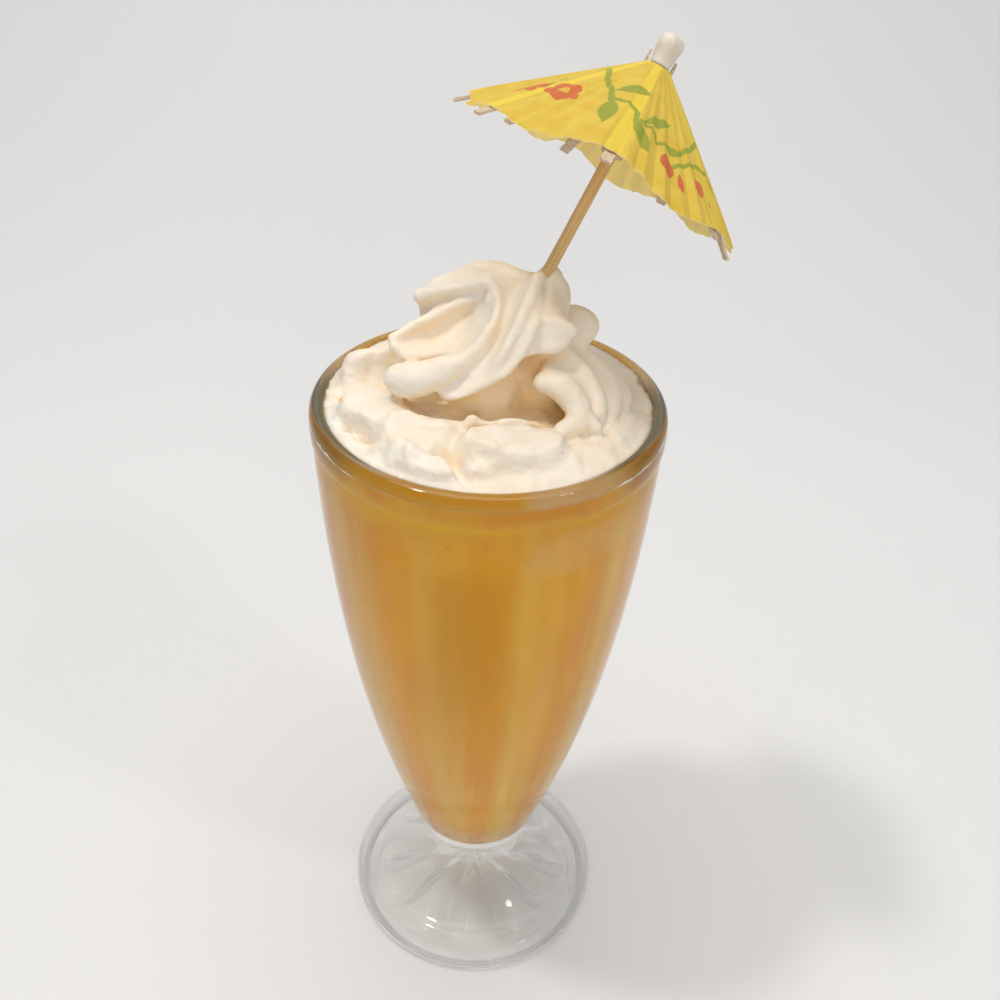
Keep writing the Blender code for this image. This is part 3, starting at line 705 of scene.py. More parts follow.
def note_shelter(mesh):
    """Stores how much of the open side above each point is closed off by other cream, 0 to 1; the cream's
    finish paints shade in the hollows by it.
    """
    tree = BVHTree.FromPolygons([v.co for v in mesh.vertices], [p.vertices for p in mesh.polygons])
    fan = []
    for tilt, turns in ((25.0, 3), (60.0, 7)):
        for turn in range(turns):
            angle = TAU * turn / turns
            side = math.sin(math.radians(tilt))
            fan.append((side * math.cos(angle), side * math.sin(angle), math.cos(math.radians(tilt))))
    shares = []
    for vertex in mesh.vertices:
        normal = vertex.normal
        across = normal.orthogonal().normalized()
        beside = normal.cross(across)
        start = vertex.co + normal * 0.2 * MM
        struck = 0
        for x, y, z in fan:
            ray = across * x + beside * y + normal * z
            if tree.ray_cast(start, ray, SHELTER_REACH * MM)[0]:
                struck += 1
        shares.append(struck / len(fan))
    store_numbers(mesh, "shelter", shares)


# Umbrella


def edge_lift(degrees):
    """How far the paper's edge stands above a plain cone's: set at each rib, sagging between ribs."""
    stops = [(angle, lift) for angle, overhang, lift in RIBS]
    stops.append((stops[0][0] + 360, stops[0][1]))
    if degrees < stops[0][0]:
        degrees += 360
    lift = 0.0
    for (low, low_lift), (high, high_lift) in zip(stops, stops[1:]):
        if low <= degrees <= high:
            share = (degrees - low) / (high - low)
            eased = 0.5 - 0.5 * math.cos(math.pi * share)
            lift = low_lift + (high_lift - low_lift) * eased - EDGE_SAG * math.sin(math.pi * share) ** 2
    return lift


def canopy_height(radius, degrees):
    share = (radius - CANOPY_HOLE) / (CANOPY_RADIUS - CANOPY_HOLE)
    bulge = PAPER_BULGE * (1.0 - share * share)
    return CANOPY_HEIGHT * (1.0 - radius / CANOPY_RADIUS) + share * edge_lift(degrees % 360) + bulge


def fold_at(degrees):
    """Height of the paper's pleats round the canopy, 0 to 1; flat where a rib is glued."""
    phase = degrees + 3.2 * noise.noise(Vector((degrees * 0.05, 0.0, 2.0)))
    wave = (phase * PLEATS / 360.0) % 1.0
    peak = 0.5 + 0.3 * noise.noise(Vector((math.floor(phase * PLEATS / 360.0) * 0.7, 5.0, 0.0)))
    saw = wave / peak if wave < peak else (1.0 - wave) / (1.0 - peak)
    clear = 1.0
    for angle, overhang, lift in RIBS:
        away = abs((degrees - angle + 180.0) % 360.0 - 180.0)
        clear = min(clear, max(0.0, away - 2.6) / 3.0)
    return saw * min(1.0, clear) * (0.75 + 0.5 * noise.noise(Vector((phase * 0.11, 0.0, 8.0))))


def canopy_mesh(settings):
    """Pleated paper with a scalloped edge, as one thin closed sheet, with its own map."""
    count = 760
    rows = 30
    depth = settings.pleat_depth / MM
    top = []
    for row in range(rows + 1):
        share = row / rows
        for step in range(count):
            degrees = 360.0 * step / count
            fold = fold_at(degrees)
            ragged = 0.5 * noise.noise(Vector((degrees * 0.3, 1.0, 4.0)))
            edge = CANOPY_RADIUS - SCALLOP_DEPTH * (1.0 - fold) + ragged
            radius = CANOPY_HOLE + (edge - CANOPY_HOLE) * share
            crumple = 0.35 * noise.noise(Vector((degrees * 0.12, share * 3.0, 6.0))) * share
            lift = canopy_height(radius, degrees) + depth * fold * share ** 1.3 + max(0.0, crumple)
            angle = math.radians(degrees)
            top.append((radius * math.cos(angle), radius * math.sin(angle), lift))
    vertices = top + [(x, y, z - PAPER_THICKNESS) for x, y, z in top]
    under = len(top)
    faces = []
    for step in range(count):
        following = (step + 1) % count
        for row in range(rows):
            a = row * count + step
            b = row * count + following
            faces.append((a, a + count, b + count, b))
            faces.append((under + a, under + b, under + b + count, under + a + count))
        last = rows * count
        faces.append((step, following, under + following, under + step))
        faces.append((last + step, under + last + step, under + last + following, last + following))
    mesh = mesh_from("umbrella_canopy_mesh", vertices, faces, umbrella_place())
    layer = mesh.uv_layers.new(name="paper")
    for loop in mesh.loops:
        x, y, z = vertices[loop.vertex_index]
        layer.data[loop.index].uv = (0.5 + 0.01 * x, 0.5 + 0.01 * y)
    store_numbers(mesh, "underside", [0.0] * under + [1.0] * under)
    return mesh


def stick_mesh(settings):
    """The bamboo pick with its tapered lower point."""
    radius = settings.stick_radius / MM
    outline = [(0.25 * radius, STICK_FOOT), (0.6 * radius, STICK_FOOT + 3.0), (radius, STICK_FOOT + 7.5)]
    steps = 60
    for step in range(1, steps + 1):
        z = STICK_FOOT + 7.5 + (STICK_TOP - STICK_FOOT - 7.5) * step / steps
        outline.append((radius * (1.0 + 0.03 * noise.noise(Vector((0.0, 0.0, z * 0.15)))), z))
    rings = []
    for r, z in outline:
        points = []
        for step in range(32):
            angle = TAU * step / 32
            side = Vector((2.0 * math.cos(angle), 2.0 * math.sin(angle), z * 0.01))
            facet = 1.0 + 0.045 * noise.noise(side)
            points.append((r * facet * math.cos(angle), r * facet * math.sin(angle), z))
        rings.append(points)
    place = umbrella_place()
    mesh = lathe("umbrella_stick_mesh", rings, (0.0, 0.0, STICK_FOOT), (0.0, 0.0, STICK_TOP), place)
    keep_place(mesh, place)
    return mesh


def slat_points(slats):
    """One point for each slat: (angle, start, end, width, thickness), start and end as (radius, height)."""
    centres = []
    turns = []
    sizes = []
    turn_to_glass = umbrella_turn().to_4x4()
    for angle, start, end, width, thickness in slats:
        across = Vector((end[0] - start[0], 0.0, end[1] - start[1]))
        tilt = math.atan2(-across.z, across.x)
        down = Vector((-math.sin(tilt), 0.0, -math.cos(tilt))) * (0.5 * thickness)
        middle = Vector((0.5 * (start[0] + end[0]), 0.0, 0.5 * (start[1] + end[1]))) + down
        spin = Matrix.Rotation(math.radians(angle), 4, "Z")
        centres.append(umbrella_place() @ (spin @ middle) * MM + GLASS_AXIS)
        turns.append((turn_to_glass @ spin @ Matrix.Rotation(tilt, 4, "Y")).to_euler())
        sizes.append(Vector((across.length, width, thickness)) * MM)
    mesh = bpy.data.meshes.new("slat_points")
    mesh.from_pydata(centres, [], [])
    store_vectors(mesh, "turn", turns)
    store_vectors(mesh, "size", sizes)
    return mesh


def roughen(mesh, amount):
    """Moves each point a little, as hand-split wood has no true edges."""
    noise.seed_set(SPLIT_SEED)
    for vertex in mesh.vertices:
        vertex.co += noise.noise_vector(vertex.co * 600.0) * amount * MM


def rib_slats():
    slats = []
    for angle, overhang, lift in RIBS:
        start = (RIB_START, canopy_height(RIB_START, angle) - RIB_DROP)
        end_radius = CANOPY_RADIUS + overhang - RIB_CUT
        end = (end_radius, canopy_height(end_radius, angle) - RIB_DROP)
        slats.append((angle, start, end, RIB_WIDTH, RIB_THICKNESS))
    return slats


def strut_slats():
    rib_depth = RIB_THICKNESS / math.cos(math.atan2(CANOPY_HEIGHT, CANOPY_RADIUS))
    slats = []
    for angle, overhang, lift in RIBS:
        top = canopy_height(STRUT_REACH, angle) - RIB_DROP - rib_depth - STRUT_GAP
        slats.append((angle, STRUT_FOOT, (STRUT_REACH, top), STRUT_WIDTH, STRUT_THICKNESS))
    return slats


def sleeve_mesh(name, outline, bore):
    """A turned sleeve: its outer outline from bottom to top, closed by a straight bore."""
    whole = list(outline) + [(bore, outline[-1][1]), (bore, outline[0][1])]
    rings = [ring(radius, height, 48) for radius, height in whole]
    return lathe(name, rings, None, None, umbrella_place())


def fin_mesh(angle):
    """A rib's end that reaches over the hub and stands up outside the cap."""
    count = len(FIN)
    vertices = [(x, side, z) for side in (-FIN_HALF_WIDTH, FIN_HALF_WIDTH) for x, z in FIN]
    faces = [tuple(range(count)), tuple(range(count, 2 * count))]
    for step in range(count):
        following = (step + 1) % count
        faces.append((step, following, count + following, count + step))
    spin = Matrix.Rotation(math.radians(angle), 4, "Z")
    return mesh_from("rib_end", vertices, faces, umbrella_place() @ spin)


def hub_mesh(settings):
    """The hub under the paper, with three rib ends beside the cap."""
    bore = settings.stick_radius / MM + 0.05
    outline = [(HUB_RADIUS - 0.2, HUB[0]), (HUB_RADIUS, HUB[0] + 0.3), (HUB_RADIUS, HUB[1] - 0.3),
               (HUB_RADIUS - 0.2, HUB[1])]
    work = bmesh.new()
    work.from_mesh(sleeve_mesh("hub_sleeve", outline, bore))
    for angle in FIN_ANGLES:
        work.from_mesh(fin_mesh(angle))
    mesh = bpy.data.meshes.new("umbrella_hub_mesh")
    work.to_mesh(mesh)
    work.free()
    keep_place(mesh, umbrella_place())
    return mesh


def runner_mesh(settings):
    bore = settings.stick_radius / MM + 0.05
    outline = [(HUB_RADIUS - 0.25, RUNNER[0]), (HUB_RADIUS, RUNNER[0] + 0.3), (HUB_RADIUS, RUNNER[1] - 0.3),
               (HUB_RADIUS - 0.25, RUNNER[1])]
    mesh = sleeve_mesh("umbrella_runner_mesh", outline, bore)
    keep_place(mesh, umbrella_place())
    return mesh


def cap_mesh():
    """The rounded cap, slightly wider above and not quite even."""
    outline = [(2.0, CAP_BOTTOM), (2.3, CAP_BOTTOM + 0.15), (2.4, CAP_BOTTOM + 1.5),
               (2.65, CAP_BOTTOM + 3.0), (CAP_RADIUS, CAP_TOP - 2.6), (CAP_RADIUS - 0.15, CAP_TOP - 1.3),
               (2.3, CAP_TOP - 0.45), (1.2, CAP_TOP - 0.05), (0.3, CAP_TOP)]
    rings = []
    for radius, height in curve_through(outline, 4):
        points = []
        for x, y, z in ring(radius, height, 64):
            bump = 1.0 + 0.05 * noise.noise(Vector((x * 0.5, y * 0.5, z * 0.4)))
            points.append((x * bump, y * bump, z))
        rings.append(points)
    place = umbrella_place()
    mesh = lathe("umbrella_cap_mesh", rings, (0.0, 0.0, CAP_BOTTOM), (0.0, 0.0, CAP_TOP), place)
    keep_place(mesh, place)
    return mesh


# Materials


class Wire:
    """A number that varies over a surface; arithmetic on it adds Math nodes."""

    def __init__(self, tree, socket):
        self.tree = tree
        self.socket = socket

    def worked(self, operation, *values, clamp=False):
        node = self.tree.nodes.new("ShaderNodeMath")
        node.operation = operation
        node.use_clamp = clamp
        for entry, value in zip(node.inputs, values):
            if isinstance(value, Wire):
                self.tree.links.new(value.socket, entry)
            else:
                entry.default_value = value
        return Wire(self.tree, node.outputs[0])

    def __add__(self, other):
        return self.worked("ADD", self, other)

    __radd__ = __add__

    def __sub__(self, other):
        return self.worked("SUBTRACT", self, other)

    def __rsub__(self, other):
        return self.worked("SUBTRACT", other, self)

    def __mul__(self, other):
        return self.worked("MULTIPLY", self, other)

    __rmul__ = __mul__

    def __truediv__(self, other):
        return self.worked("DIVIDE", self, other)

    def __pow__(self, other):
        return self.worked("POWER", self, other)

    def __abs__(self):
        return self.worked("ABSOLUTE", self)

    def sine(self):
        return self.worked("SINE", self)

    def root(self):
        return self.worked("SQRT", self)

    def larger(self, other):
        return self.worked("MAXIMUM", self, other)

    def clamped(self):
        return self.worked("ADD", self, 0.0, clamp=True)

    def past(self, low, high):
        """0 below low, 1 above high, with a soft step between."""
        node = self.tree.nodes.new("ShaderNodeMapRange")
        node.interpolation_type = "SMOOTHSTEP"
        self.tree.links.new(self.socket, node.inputs["Value"])
        node.inputs["From Min"].default_value = low
        node.inputs["From Max"].default_value = high
        return Wire(self.tree, node.outputs["Result"])


class Finish:
    """One material, built round its Principled BSDF."""

    def __init__(self, name):
        self.material = bpy.data.materials.new(name)
        self.material.use_nodes = True
        self.tree = self.material.node_tree
        self.shader = self.tree.nodes["Principled BSDF"]

    def add(self, kind, settings=None, inputs=None):
        """Adds a node: its settings first, then the values or links of its sockets."""
        node = self.tree.nodes.new(kind)
        for key, value in (settings or {}).items():
            setattr(node, key, value)
        for key, value in (inputs or {}).items():
            self.feed(node.inputs[key], value)
        return node

    def feed(self, entry, value):
        if isinstance(value, Wire):
            self.tree.links.new(value.socket, entry)
        elif isinstance(value, bpy.types.NodeSocket):
            self.tree.links.new(value, entry)
        else:
            entry.default_value = value

    def wire(self, socket):
        return Wire(self.tree, socket)

    def places(self):
        return self.add("ShaderNodeTexCoord").outputs["Object"]

    def own_places(self):
        return self.add("ShaderNodeAttribute", {"attribute_name": "own_place"}).outputs["Vector"]

    def stored(self, name):
        """A number stored with each point of the piece."""
        return self.wire(self.add("ShaderNodeAttribute", {"attribute_name": name}).outputs["Fac"])

    def centred_places(self):
        """Places measured from the glass's axis."""
        return self.stretched(self.places(), (1.0, 1.0, 1.0), tuple(-GLASS_AXIS))

    def smudge(self, across, up, centre, size, turn, cloud):
        """A soft-edged oval patch on a surface seen from the front."""
        c = math.cos(turn)
        s = math.sin(turn)
        along = (across - centre[0]) * (c / size[0]) + (up - centre[1]) * (s / size[0])
        beside = (up - centre[1]) * (c / size[1]) - (across - centre[0]) * (s / size[1])
        away = (along * along + beside * beside).root() + (cloud - 0.5) * 1.4
        return 1.0 - away.past(0.55, 1.15)

    def stretched(self, vector, scale, location=(0.0, 0.0, 0.0)):
        return self.add("ShaderNodeMapping", None,
                        {"Vector": vector, "Scale": scale, "Location": location}).outputs[0]

    def cloud(self, vector, scale, detail=3.0, roughness=0.5):
        """Soft noise, 0 to 1."""
        node = self.add("ShaderNodeTexNoise", None,
                        {"Vector": vector, "Scale": scale, "Detail": detail, "Roughness": roughness})
        return self.wire(node.outputs["Fac"])

    def cells(self, vector, scale, randomness=1.0):
        """Distance to the nearest of many scattered points."""
        node = self.add("ShaderNodeTexVoronoi", None,
                        {"Vector": vector, "Scale": scale, "Randomness": randomness})
        return self.wire(node.outputs["Distance"])

    def parts(self, vector):
        node = self.add("ShaderNodeSeparateXYZ", None, {0: vector})
        return [self.wire(socket) for socket in node.outputs]

    def blend(self, factor, first, second):
        """A colour between two colours."""
        node = self.add("ShaderNodeMix", {"data_type": "RGBA"})
        self.feed(node.inputs[0], factor)
        self.feed(node.inputs[6], colour4(first))
        self.feed(node.inputs[7], colour4(second))
        return node.outputs[2]

    def tilt(self, height, distance, strength=1.0):
        node = self.add("ShaderNodeBump", None,
                        {"Height": height, "Distance": distance, "Strength": strength})
        return node.outputs[0]

    def set(self, **values):
        """Sets or links the shader's sockets; an underscore stands for a space."""
        for name, value in values.items():
            self.feed(self.shader.inputs[name.replace("_", " ")], colour4(value))

    def fix(self, **values):
        """Sets constants on the shader's own sockets; an underscore stands for a space."""
        for name, value in values.items():
            self.shader.inputs[name.replace("_", " ")].default_value = value


def joined(masks):
    """The largest of several masks at each point."""
    whole = masks[0]
    for mask in masks[1:]:
        whole = whole.larger(mask)
    return whole


def colour4(value):
    if isinstance(value, (tuple, list)) and len(value) == 3:
        return (*value, 1.0)
    return value


def triple(colour):
    return (colour[0], colour[1], colour[2])


def glass_finish(settings):
    """Clear pressed glass with faint waves in its surface, with painted shade and a painted dark reflection
    at the rim's left and right front.
    """
    finish = Finish("clear_glass")
    places = finish.places()
    wave = finish.cloud(places, 45.0, 1.0)
    fine = finish.cloud(places, 260.0, 2.0)
    x, y, z = finish.parts(finish.centred_places())
    rim = z.past(0.160, 0.172)
    tint = finish.blend(wave, triple(settings.tint), (0.985, 0.99, 0.985))
    tint = finish.blend(rim, tint, triple(settings.rim_tint))
    # Painted shade: the rim's left and right front are tinted dark olive, standing in for shadowed drink
    # and cream seen through the rim.
    painted_light_sides = abs(x).past(0.027, 0.035) * (1.0 - y.past(0.0, 0.02)) * z.past(0.173, 0.177)
    tint = finish.blend(painted_light_sides, tint, (0.50, 0.44, 0.27))
    away = (x * x + y * y).root()
    # Painted reflection: the rim's inner wall at its left and right front is made dark and metallic,
    # standing in for a dark olive reflection.
    painted_dark_reflection = (1.0 - away.past(0.0403, 0.0418)) * z.past(0.1765, 0.1785) * abs(x).past(0.018, 0.030)
    painted_dark_reflection = painted_dark_reflection * (1.0 - y.past(0.0, 0.02))
    tint = finish.blend(painted_dark_reflection, tint, (0.22, 0.18, 0.09))
    foot = 1.0 - z.past(0.020, 0.034)
    finish.set(Base_Color=tint, Roughness=0.008 + 0.012 * fine, Metallic=painted_dark_reflection * 0.9)
    finish.fix(IOR=1.5, Transmission_Weight=1.0)
    facing = finish.wire(finish.add("ShaderNodeLayerWeight", None, {"Blend": 0.5}).outputs["Facing"])
    bowl = z.past(0.040, 0.050) * (1.0 - rim) * (0.2 - 0.35 * facing.past(0.3, 0.6))
    brim = foot * away.past(0.031, 0.034)
    finish.set(Alpha=settings.clearness + rim * 0.12 + painted_light_sides * 0.05 - bowl - foot * 0.27 - brim * 0.22)
    finish.set(Normal=finish.tilt(wave + 0.06 * fine, 0.0004, 0.35))
    return finish.material


def shake_finish(settings):
    """Thick mango drink against the fluted glass: cloudy, with small bubbles, a brighter top edge, and
    painted light and shade along the flutes and round the rim.
    """
    finish = Finish("mango_shake")
    places = finish.centred_places()
    x, y, z = finish.parts(places)
    angle = x.worked("ARCTAN2", y, x)
    turn = (angle - math.radians(FLUTE_TURN)) * (0.5 * FLUTES)
    across = turn.sine()
    one_side = (turn * 2.0).sine()
    cloud = finish.cloud(finish.stretched(places, (1.0, 1.0, 0.4)), 70.0, 4.0)
    fine = finish.cloud(places, 420.0, 3.0)
    smear = finish.cloud(finish.stretched(places, (1.0, 1.0, 0.12)), 120.0, 2.0)
    colour = finish.blend(cloud.past(0.32, 0.68), triple(settings.deep_colour), triple(settings.colour))
    # Painted light: one side of each flute is made paler as if lit from that side, more so low down; the
    # ridges are paler behind the thicker glass.
    ridges = (1.0 - abs(across)).past(0.35, 1.0)
    painted_light_sides = (one_side * 0.5 + 0.5).past(0.35, 1.0)
    low = 1.0 - z.past(0.05, 0.15)
    flute_painted_light_streaks = (ridges * 0.5 + painted_light_sides * (0.35 + 0.3 * low)) * (0.5 + 1.0 * smear)
    colour = finish.blend(flute_painted_light_streaks.clamped(), colour, triple(settings.ridge_and_lit_side_colour))
    top = z.past(0.158, 0.171) * (0.55 + 0.45 * cloud.past(0.3, 0.6))
    colour = finish.blend(top * 0.85, colour, triple(settings.top_and_glint_colour))
    bottom = 1.0 - z.past(0.034, 0.056)
    rings = finish.cloud(finish.stretched(places, (0.25, 0.25, 3.0)), 90.0, 2.0).past(0.45, 0.6)
    colour = finish.blend(bottom * rings * 0.6, colour, triple(settings.deep_colour))
    patches = finish.cloud(finish.stretched(places, (1.0, 1.0, 0.8), (0.3, 0.1, 0.0)), 38.0, 2.0)
    cells = finish.cloud(finish.stretched(places, (1.0, 1.0, 0.5), (0.1, 0.2, 0.0)), 55.0, 1.0)
    pits = 1.0 - finish.cells(finish.stretched(places, (1.0, 1.0, 1.7)), 420.0).past(0.10, 0.24)
    bubbles = pits * patches.past(0.52, 0.62) * z.past(0.105, 0.135) * (1.0 - z.past(0.166, 0.170))
    colour = finish.blend(bubbles * 0.55, colour, (0.36, 0.15, 0.0))
    colour = finish.blend(0.2 * fine, colour, triple(settings.deep_colour))
    away = (x * x + y * y).root()
    round_glass = finish.add("ShaderNodeCombineXYZ", None,
                             {"X": x / away, "Y": y / away, "Z": z * 3.0}).outputs[0]
    lines = finish.cloud(round_glass, 13.0, 3.0, 0.6)
    colour = finish.blend(lines.past(0.5, 0.72) * 0.5, colour, (1.0, 0.56, 0.03))
    colour = finish.blend((1.0 - lines.past(0.3, 0.46)) * 0.45, colour, triple(settings.deep_colour))
    level = z + (smear - 0.5) * 0.002
    # Painted highlight: a bright yellow line in the drink where the rim's step meets the bowl.
    painted_step_highlight = (1.0 - abs(level - 0.1712).past(0.0004, 0.0018)) * cloud.past(0.2, 0.5)
    colour = finish.blend(painted_step_highlight * 0.8, colour, (1.0, 0.62, 0.0))
    # Painted shade: darker patches in the drink behind the rim band, under the cream.
    painted_rim_shade = level.past(0.1725, 0.1740) * cells.past(0.35, 0.55)
    colour = finish.blend(painted_rim_shade * 0.7, colour, (0.90, 0.36, 0.0))
    golden = finish.smudge(x, z, (-0.0275, 0.1715), (0.0090, 0.0045), -0.35, cloud)
    colour = finish.blend(golden * (1.0 - y.past(-0.01, 0.0)) * 0.9, colour, (1.0, 0.57, 0.0))
    # Painted shade: a darker band down the middle of the bowl's front and back, fading out below and at the
    # top.
    middle = (1.0 - abs(x + 0.003).past(0.004, 0.014)) * z.past(0.085, 0.125) * (1.0 - z.past(0.152, 0.162))
    colour = finish.blend(middle * 0.55, colour, (0.72, 0.33, 0.0))
    # Painted highlight: thin bright lines along the flute ridges, here and there.
    painted_ridge_glint = (1.0 - abs(across)).past(0.93, 0.99) * z.past(0.09, 0.12) * smear.past(0.45, 0.6)
    colour = finish.blend(painted_ridge_glint * 0.5, colour, triple(settings.top_and_glint_colour))
    streak = finish.smudge(x, z, (0.0205, 0.1615), (0.0115, 0.0065), 0.25, cloud)
    colour = finish.blend(streak * (1.0 - y.past(-0.01, 0.0)) * 0.22, colour, (0.95, 0.74, 0.36))
    finish.set(Base_Color=colour, Roughness=0.22 + 0.2 * cloud)
    finish.fix(Specular_IOR_Level=0.05, Subsurface_Weight=0.15, Subsurface_Scale=0.002,
               Subsurface_Radius=(1.0, 0.4, 0.05))
    finish.set(Normal=finish.tilt(cloud + 0.5 * bubbles, 0.0004, 0.4))
    return finish.material


def cream_finish(settings):
    """Moist whipped cream with tiny bubbles and wet glints, and painted shade in its hollows."""
    finish = Finish("cream")
    places = finish.places()
    cloud = finish.cloud(places, 70.0, 3.0)
    fine = finish.cloud(places, 900.0, 2.0)
    pits = 1.0 - finish.cells(places, 900.0).past(0.05, 0.2)
    colour = finish.blend(cloud.past(0.35, 0.7), triple(settings.shade_colour), triple(settings.colour))
    shelter = finish.stored("shelter")
    x, y, z = finish.parts(finish.centred_places())
    away = (x * x + y * y).root()
    # Painted shade: sheltered hollows are made warmer and darker, less so near the glass.
    painted_hollow_shade = shelter.past(0.3, 1.0) * (1.0 - 0.7 * away.past(0.026, 0.031))
    colour = finish.blend(painted_hollow_shade, colour, triple(settings.painted_hollow_shade_colour))
    bare = finish.smudge(x, z, (0.020, 0.178), (0.012, 0.004), 0.0, cloud)
    level = z + (cloud - 0.5) * 0.004
    stain = away.past(0.0372, 0.0382) * (1.0 - level.past(0.1786, 0.1796)) * (1.0 - 0.4 * bare)
    colour = finish.blend(stain, colour, triple(settings.stain_colour))
    spot = finish.smudge(x, y, (-0.0345, -0.004), (0.0014, 0.0022), 0.0, cloud)
    colour = finish.blend(spot * 0.9, colour, triple(settings.stain_colour))
    finish.set(Base_Color=colour, Roughness=0.32 + 0.22 * cloud + 0.1 * fine)
    finish.fix(Specular_IOR_Level=0.35, Subsurface_Weight=0.5, Subsurface_Scale=0.0013,
               Subsurface_Radius=(1.0, 0.62, 0.3))
    wet = finish.cloud(places, 260.0, 3.0)
    height = wet + 0.25 * fine - 0.35 * pits
    finish.set(Normal=finish.tilt(height, 0.0003, 0.45))
    return finish.material


def along_line(u, v, start, end):
    """Distances along a line of the print from its middle, and across it, and half its length."""
    half = 0.5 * math.dist(start, end)
    dx = 0.5 * (end[0] - start[0]) / half
    dy = 0.5 * (end[1] - start[1]) / half
    right = u - 0.5 * (start[0] + end[0])
    up = v - 0.5 * (start[1] + end[1])
    return right * dx + up * dy, up * dx - right * dy, half


def leaf_mask(u, v, start, end, half_width):
    """A pointed leaf between two points of the print."""
    along, across, half = along_line(u, v, start, end)
    along = along * (1.0 / half)
    across = abs(across * (1.0 / half_width))
    return (1.0 - along * along - across).past(0.0, 0.3 / half_width)


def stem_mask(u, v, start, end, half_width):
    """A stem of even width between two points of the print."""
    along, across, half = along_line(u, v, start, end)
    beyond = (abs(along) - half).larger(0.0)
    return 1.0 - (beyond * beyond + across * across).root().past(half_width - 0.15, half_width + 0.12)


def flower_masks(u, v, centre_x, centre_y, radius, turn):
    """A five-petalled flower and its round middle, narrower down the slope so that it looks round on it."""
    out_x = centre_x / math.hypot(centre_x, centre_y)
    out_y = centre_y / math.hypot(centre_x, centre_y)
    across = ((u - centre_x) * out_x + (v - centre_y) * out_y) * FLOWER_NARROWING
    up = (v - centre_y) * out_x - (u - centre_x) * out_y
    away = (across * across + up * up).root()
    angle = away.worked("ARCTAN2", up, across)
    petals = ((angle + math.radians(turn)) * 2.5).sine()
    edge = radius * 0.72 + radius * 0.3 * abs(petals)
    whole = 1.0 - (away - edge).past(-0.12, 0.2)
    middle = 1.0 - away.past(0.3 * radius - 0.15, 0.3 * radius + 0.2)
    return whole, middle


def band_mask(x, y, degrees):
    """A band of glued paper over a rib, wider towards the edge."""
    dx = math.cos(math.radians(degrees))
    dy = math.sin(math.radians(degrees))
    along = x * dx + y * dy
    width = 0.6 + along * 0.035
    return (1.0 - (abs(y * dx - x * dy) - width).past(-0.1, 0.25)) * along.past(0.0, 0.5)


def paper_finish(settings):
    """Yellow tissue with a printed vine, repeated on the far half, flat bands over the ribs, and painted
    light on its underside.
    """
    finish = Finish("paper")
    flat = finish.add("ShaderNodeUVMap", {"uv_map": "paper"}).outputs[0]
    rough = finish.cloud(flat, 38.0, 2.0)
    x, y, _ = finish.parts(flat)
    x = (x - 0.5) * 100.0
    y = (y - 0.5) * 100.0
    half = (y + 0.4).past(-0.02, 0.02)
    side = 1.0 - 2.0 * half
    u = x * side + (rough - 0.5) * 0.4
    v = y * side + (finish.cloud(flat, 33.0, 2.0) - 0.5) * 0.4
    stems = [stem_mask(u, v, *vine) for vine in VINES]
    green = joined([leaf_mask(u, v, *leaf) for leaf in LEAVES] + stems)
    flowers = [flower_masks(u, v, *flower) for flower in FLOWERS]
    red = joined([leaf_mask(u, v, *bud) for bud in BUDS] + [whole for whole, middle in flowers])
    middles = joined([middle for whole, middle in flowers])
    bands = joined([band_mask(x, y, angle) for angle, overhang, lift in RIBS])
    fibres = finish.cloud(flat, 240.0, 4.0, 0.65)
    mottle = finish.cloud(flat, 24.0, 2.0)
    paper = finish.blend(mottle.past(0.3, 0.7), triple(settings.paper_colour), triple(settings.paper_shade))
    paper = finish.blend(bands * 0.85, paper, triple(settings.band_colour))
    worn = 0.72 + 0.5 * (fibres - 0.5)
    paper = finish.blend(green * worn, paper, triple(settings.leaf_colour))
    petals = red * (1.0 - middles * 0.85)
    paper = finish.blend(petals * (worn + 0.12), paper, triple(settings.flower_colour))
    # Painted light: the paper's underside is made much lighter, standing in for light shining through the
    # paper.
    underside = finish.stored("underside")
    paper = finish.blend(underside * 0.85, paper, triple(settings.underside_painted_light_colour))
    finish.set(Base_Color=paper, Roughness=0.62 + 0.2 * fibres)
    finish.fix(Specular_IOR_Level=0.25, Subsurface_Weight=0.5, Subsurface_Scale=0.0012,
               Subsurface_Radius=(1.0, 0.75, 0.3))
    creases = finish.cloud(flat, 110.0, 3.0, 0.6)
    finish.set(Normal=finish.tilt(creases + 0.3 * fibres, 0.0003, 0.5))
    return finish.material


def bamboo_finish(settings):
    """Honey-coloured bamboo with dark fibres along the stick."""
    finish = Finish("bamboo")
    own = finish.own_places()
    grain = finish.cloud(finish.stretched(own, (2600.0, 2600.0, 60.0)), 1.0, 4.0, 0.6)
    streak = finish.cloud(finish.stretched(own, (900.0, 900.0, 14.0)), 1.0, 2.0)
    colour = finish.blend(grain.past(0.3, 0.7), triple(settings.stick_dark), triple(settings.stick_colour))
    colour = finish.blend(streak.past(0.5, 0.72) * 0.6, colour, (0.88, 0.70, 0.44))
    finish.set(Base_Color=colour, Roughness=0.42 + 0.2 * grain)
    finish.set(Normal=finish.tilt(grain, 0.0001, 0.5))
    return finish.material


def slat_finish(settings, name="slat_wood"):
    """Raw pale split wood."""
    finish = Finish(name)
    places = finish.places()
    grain = finish.cloud(finish.stretched(places, (1500.0, 1500.0, 400.0)), 1.0, 3.0, 0.6)
    patch = finish.cloud(places, 160.0, 2.0)
    colour = finish.blend(grain.past(0.3, 0.7), triple(settings.slat_dark), triple(settings.slat_colour))
    colour = finish.blend(patch * 0.3, colour, triple(settings.slat_dark))
    finish.set(Base_Color=colour, Roughness=0.6 + 0.25 * grain)
    finish.set(Normal=finish.tilt(grain, 0.00012, 0.6))
    return finish.material


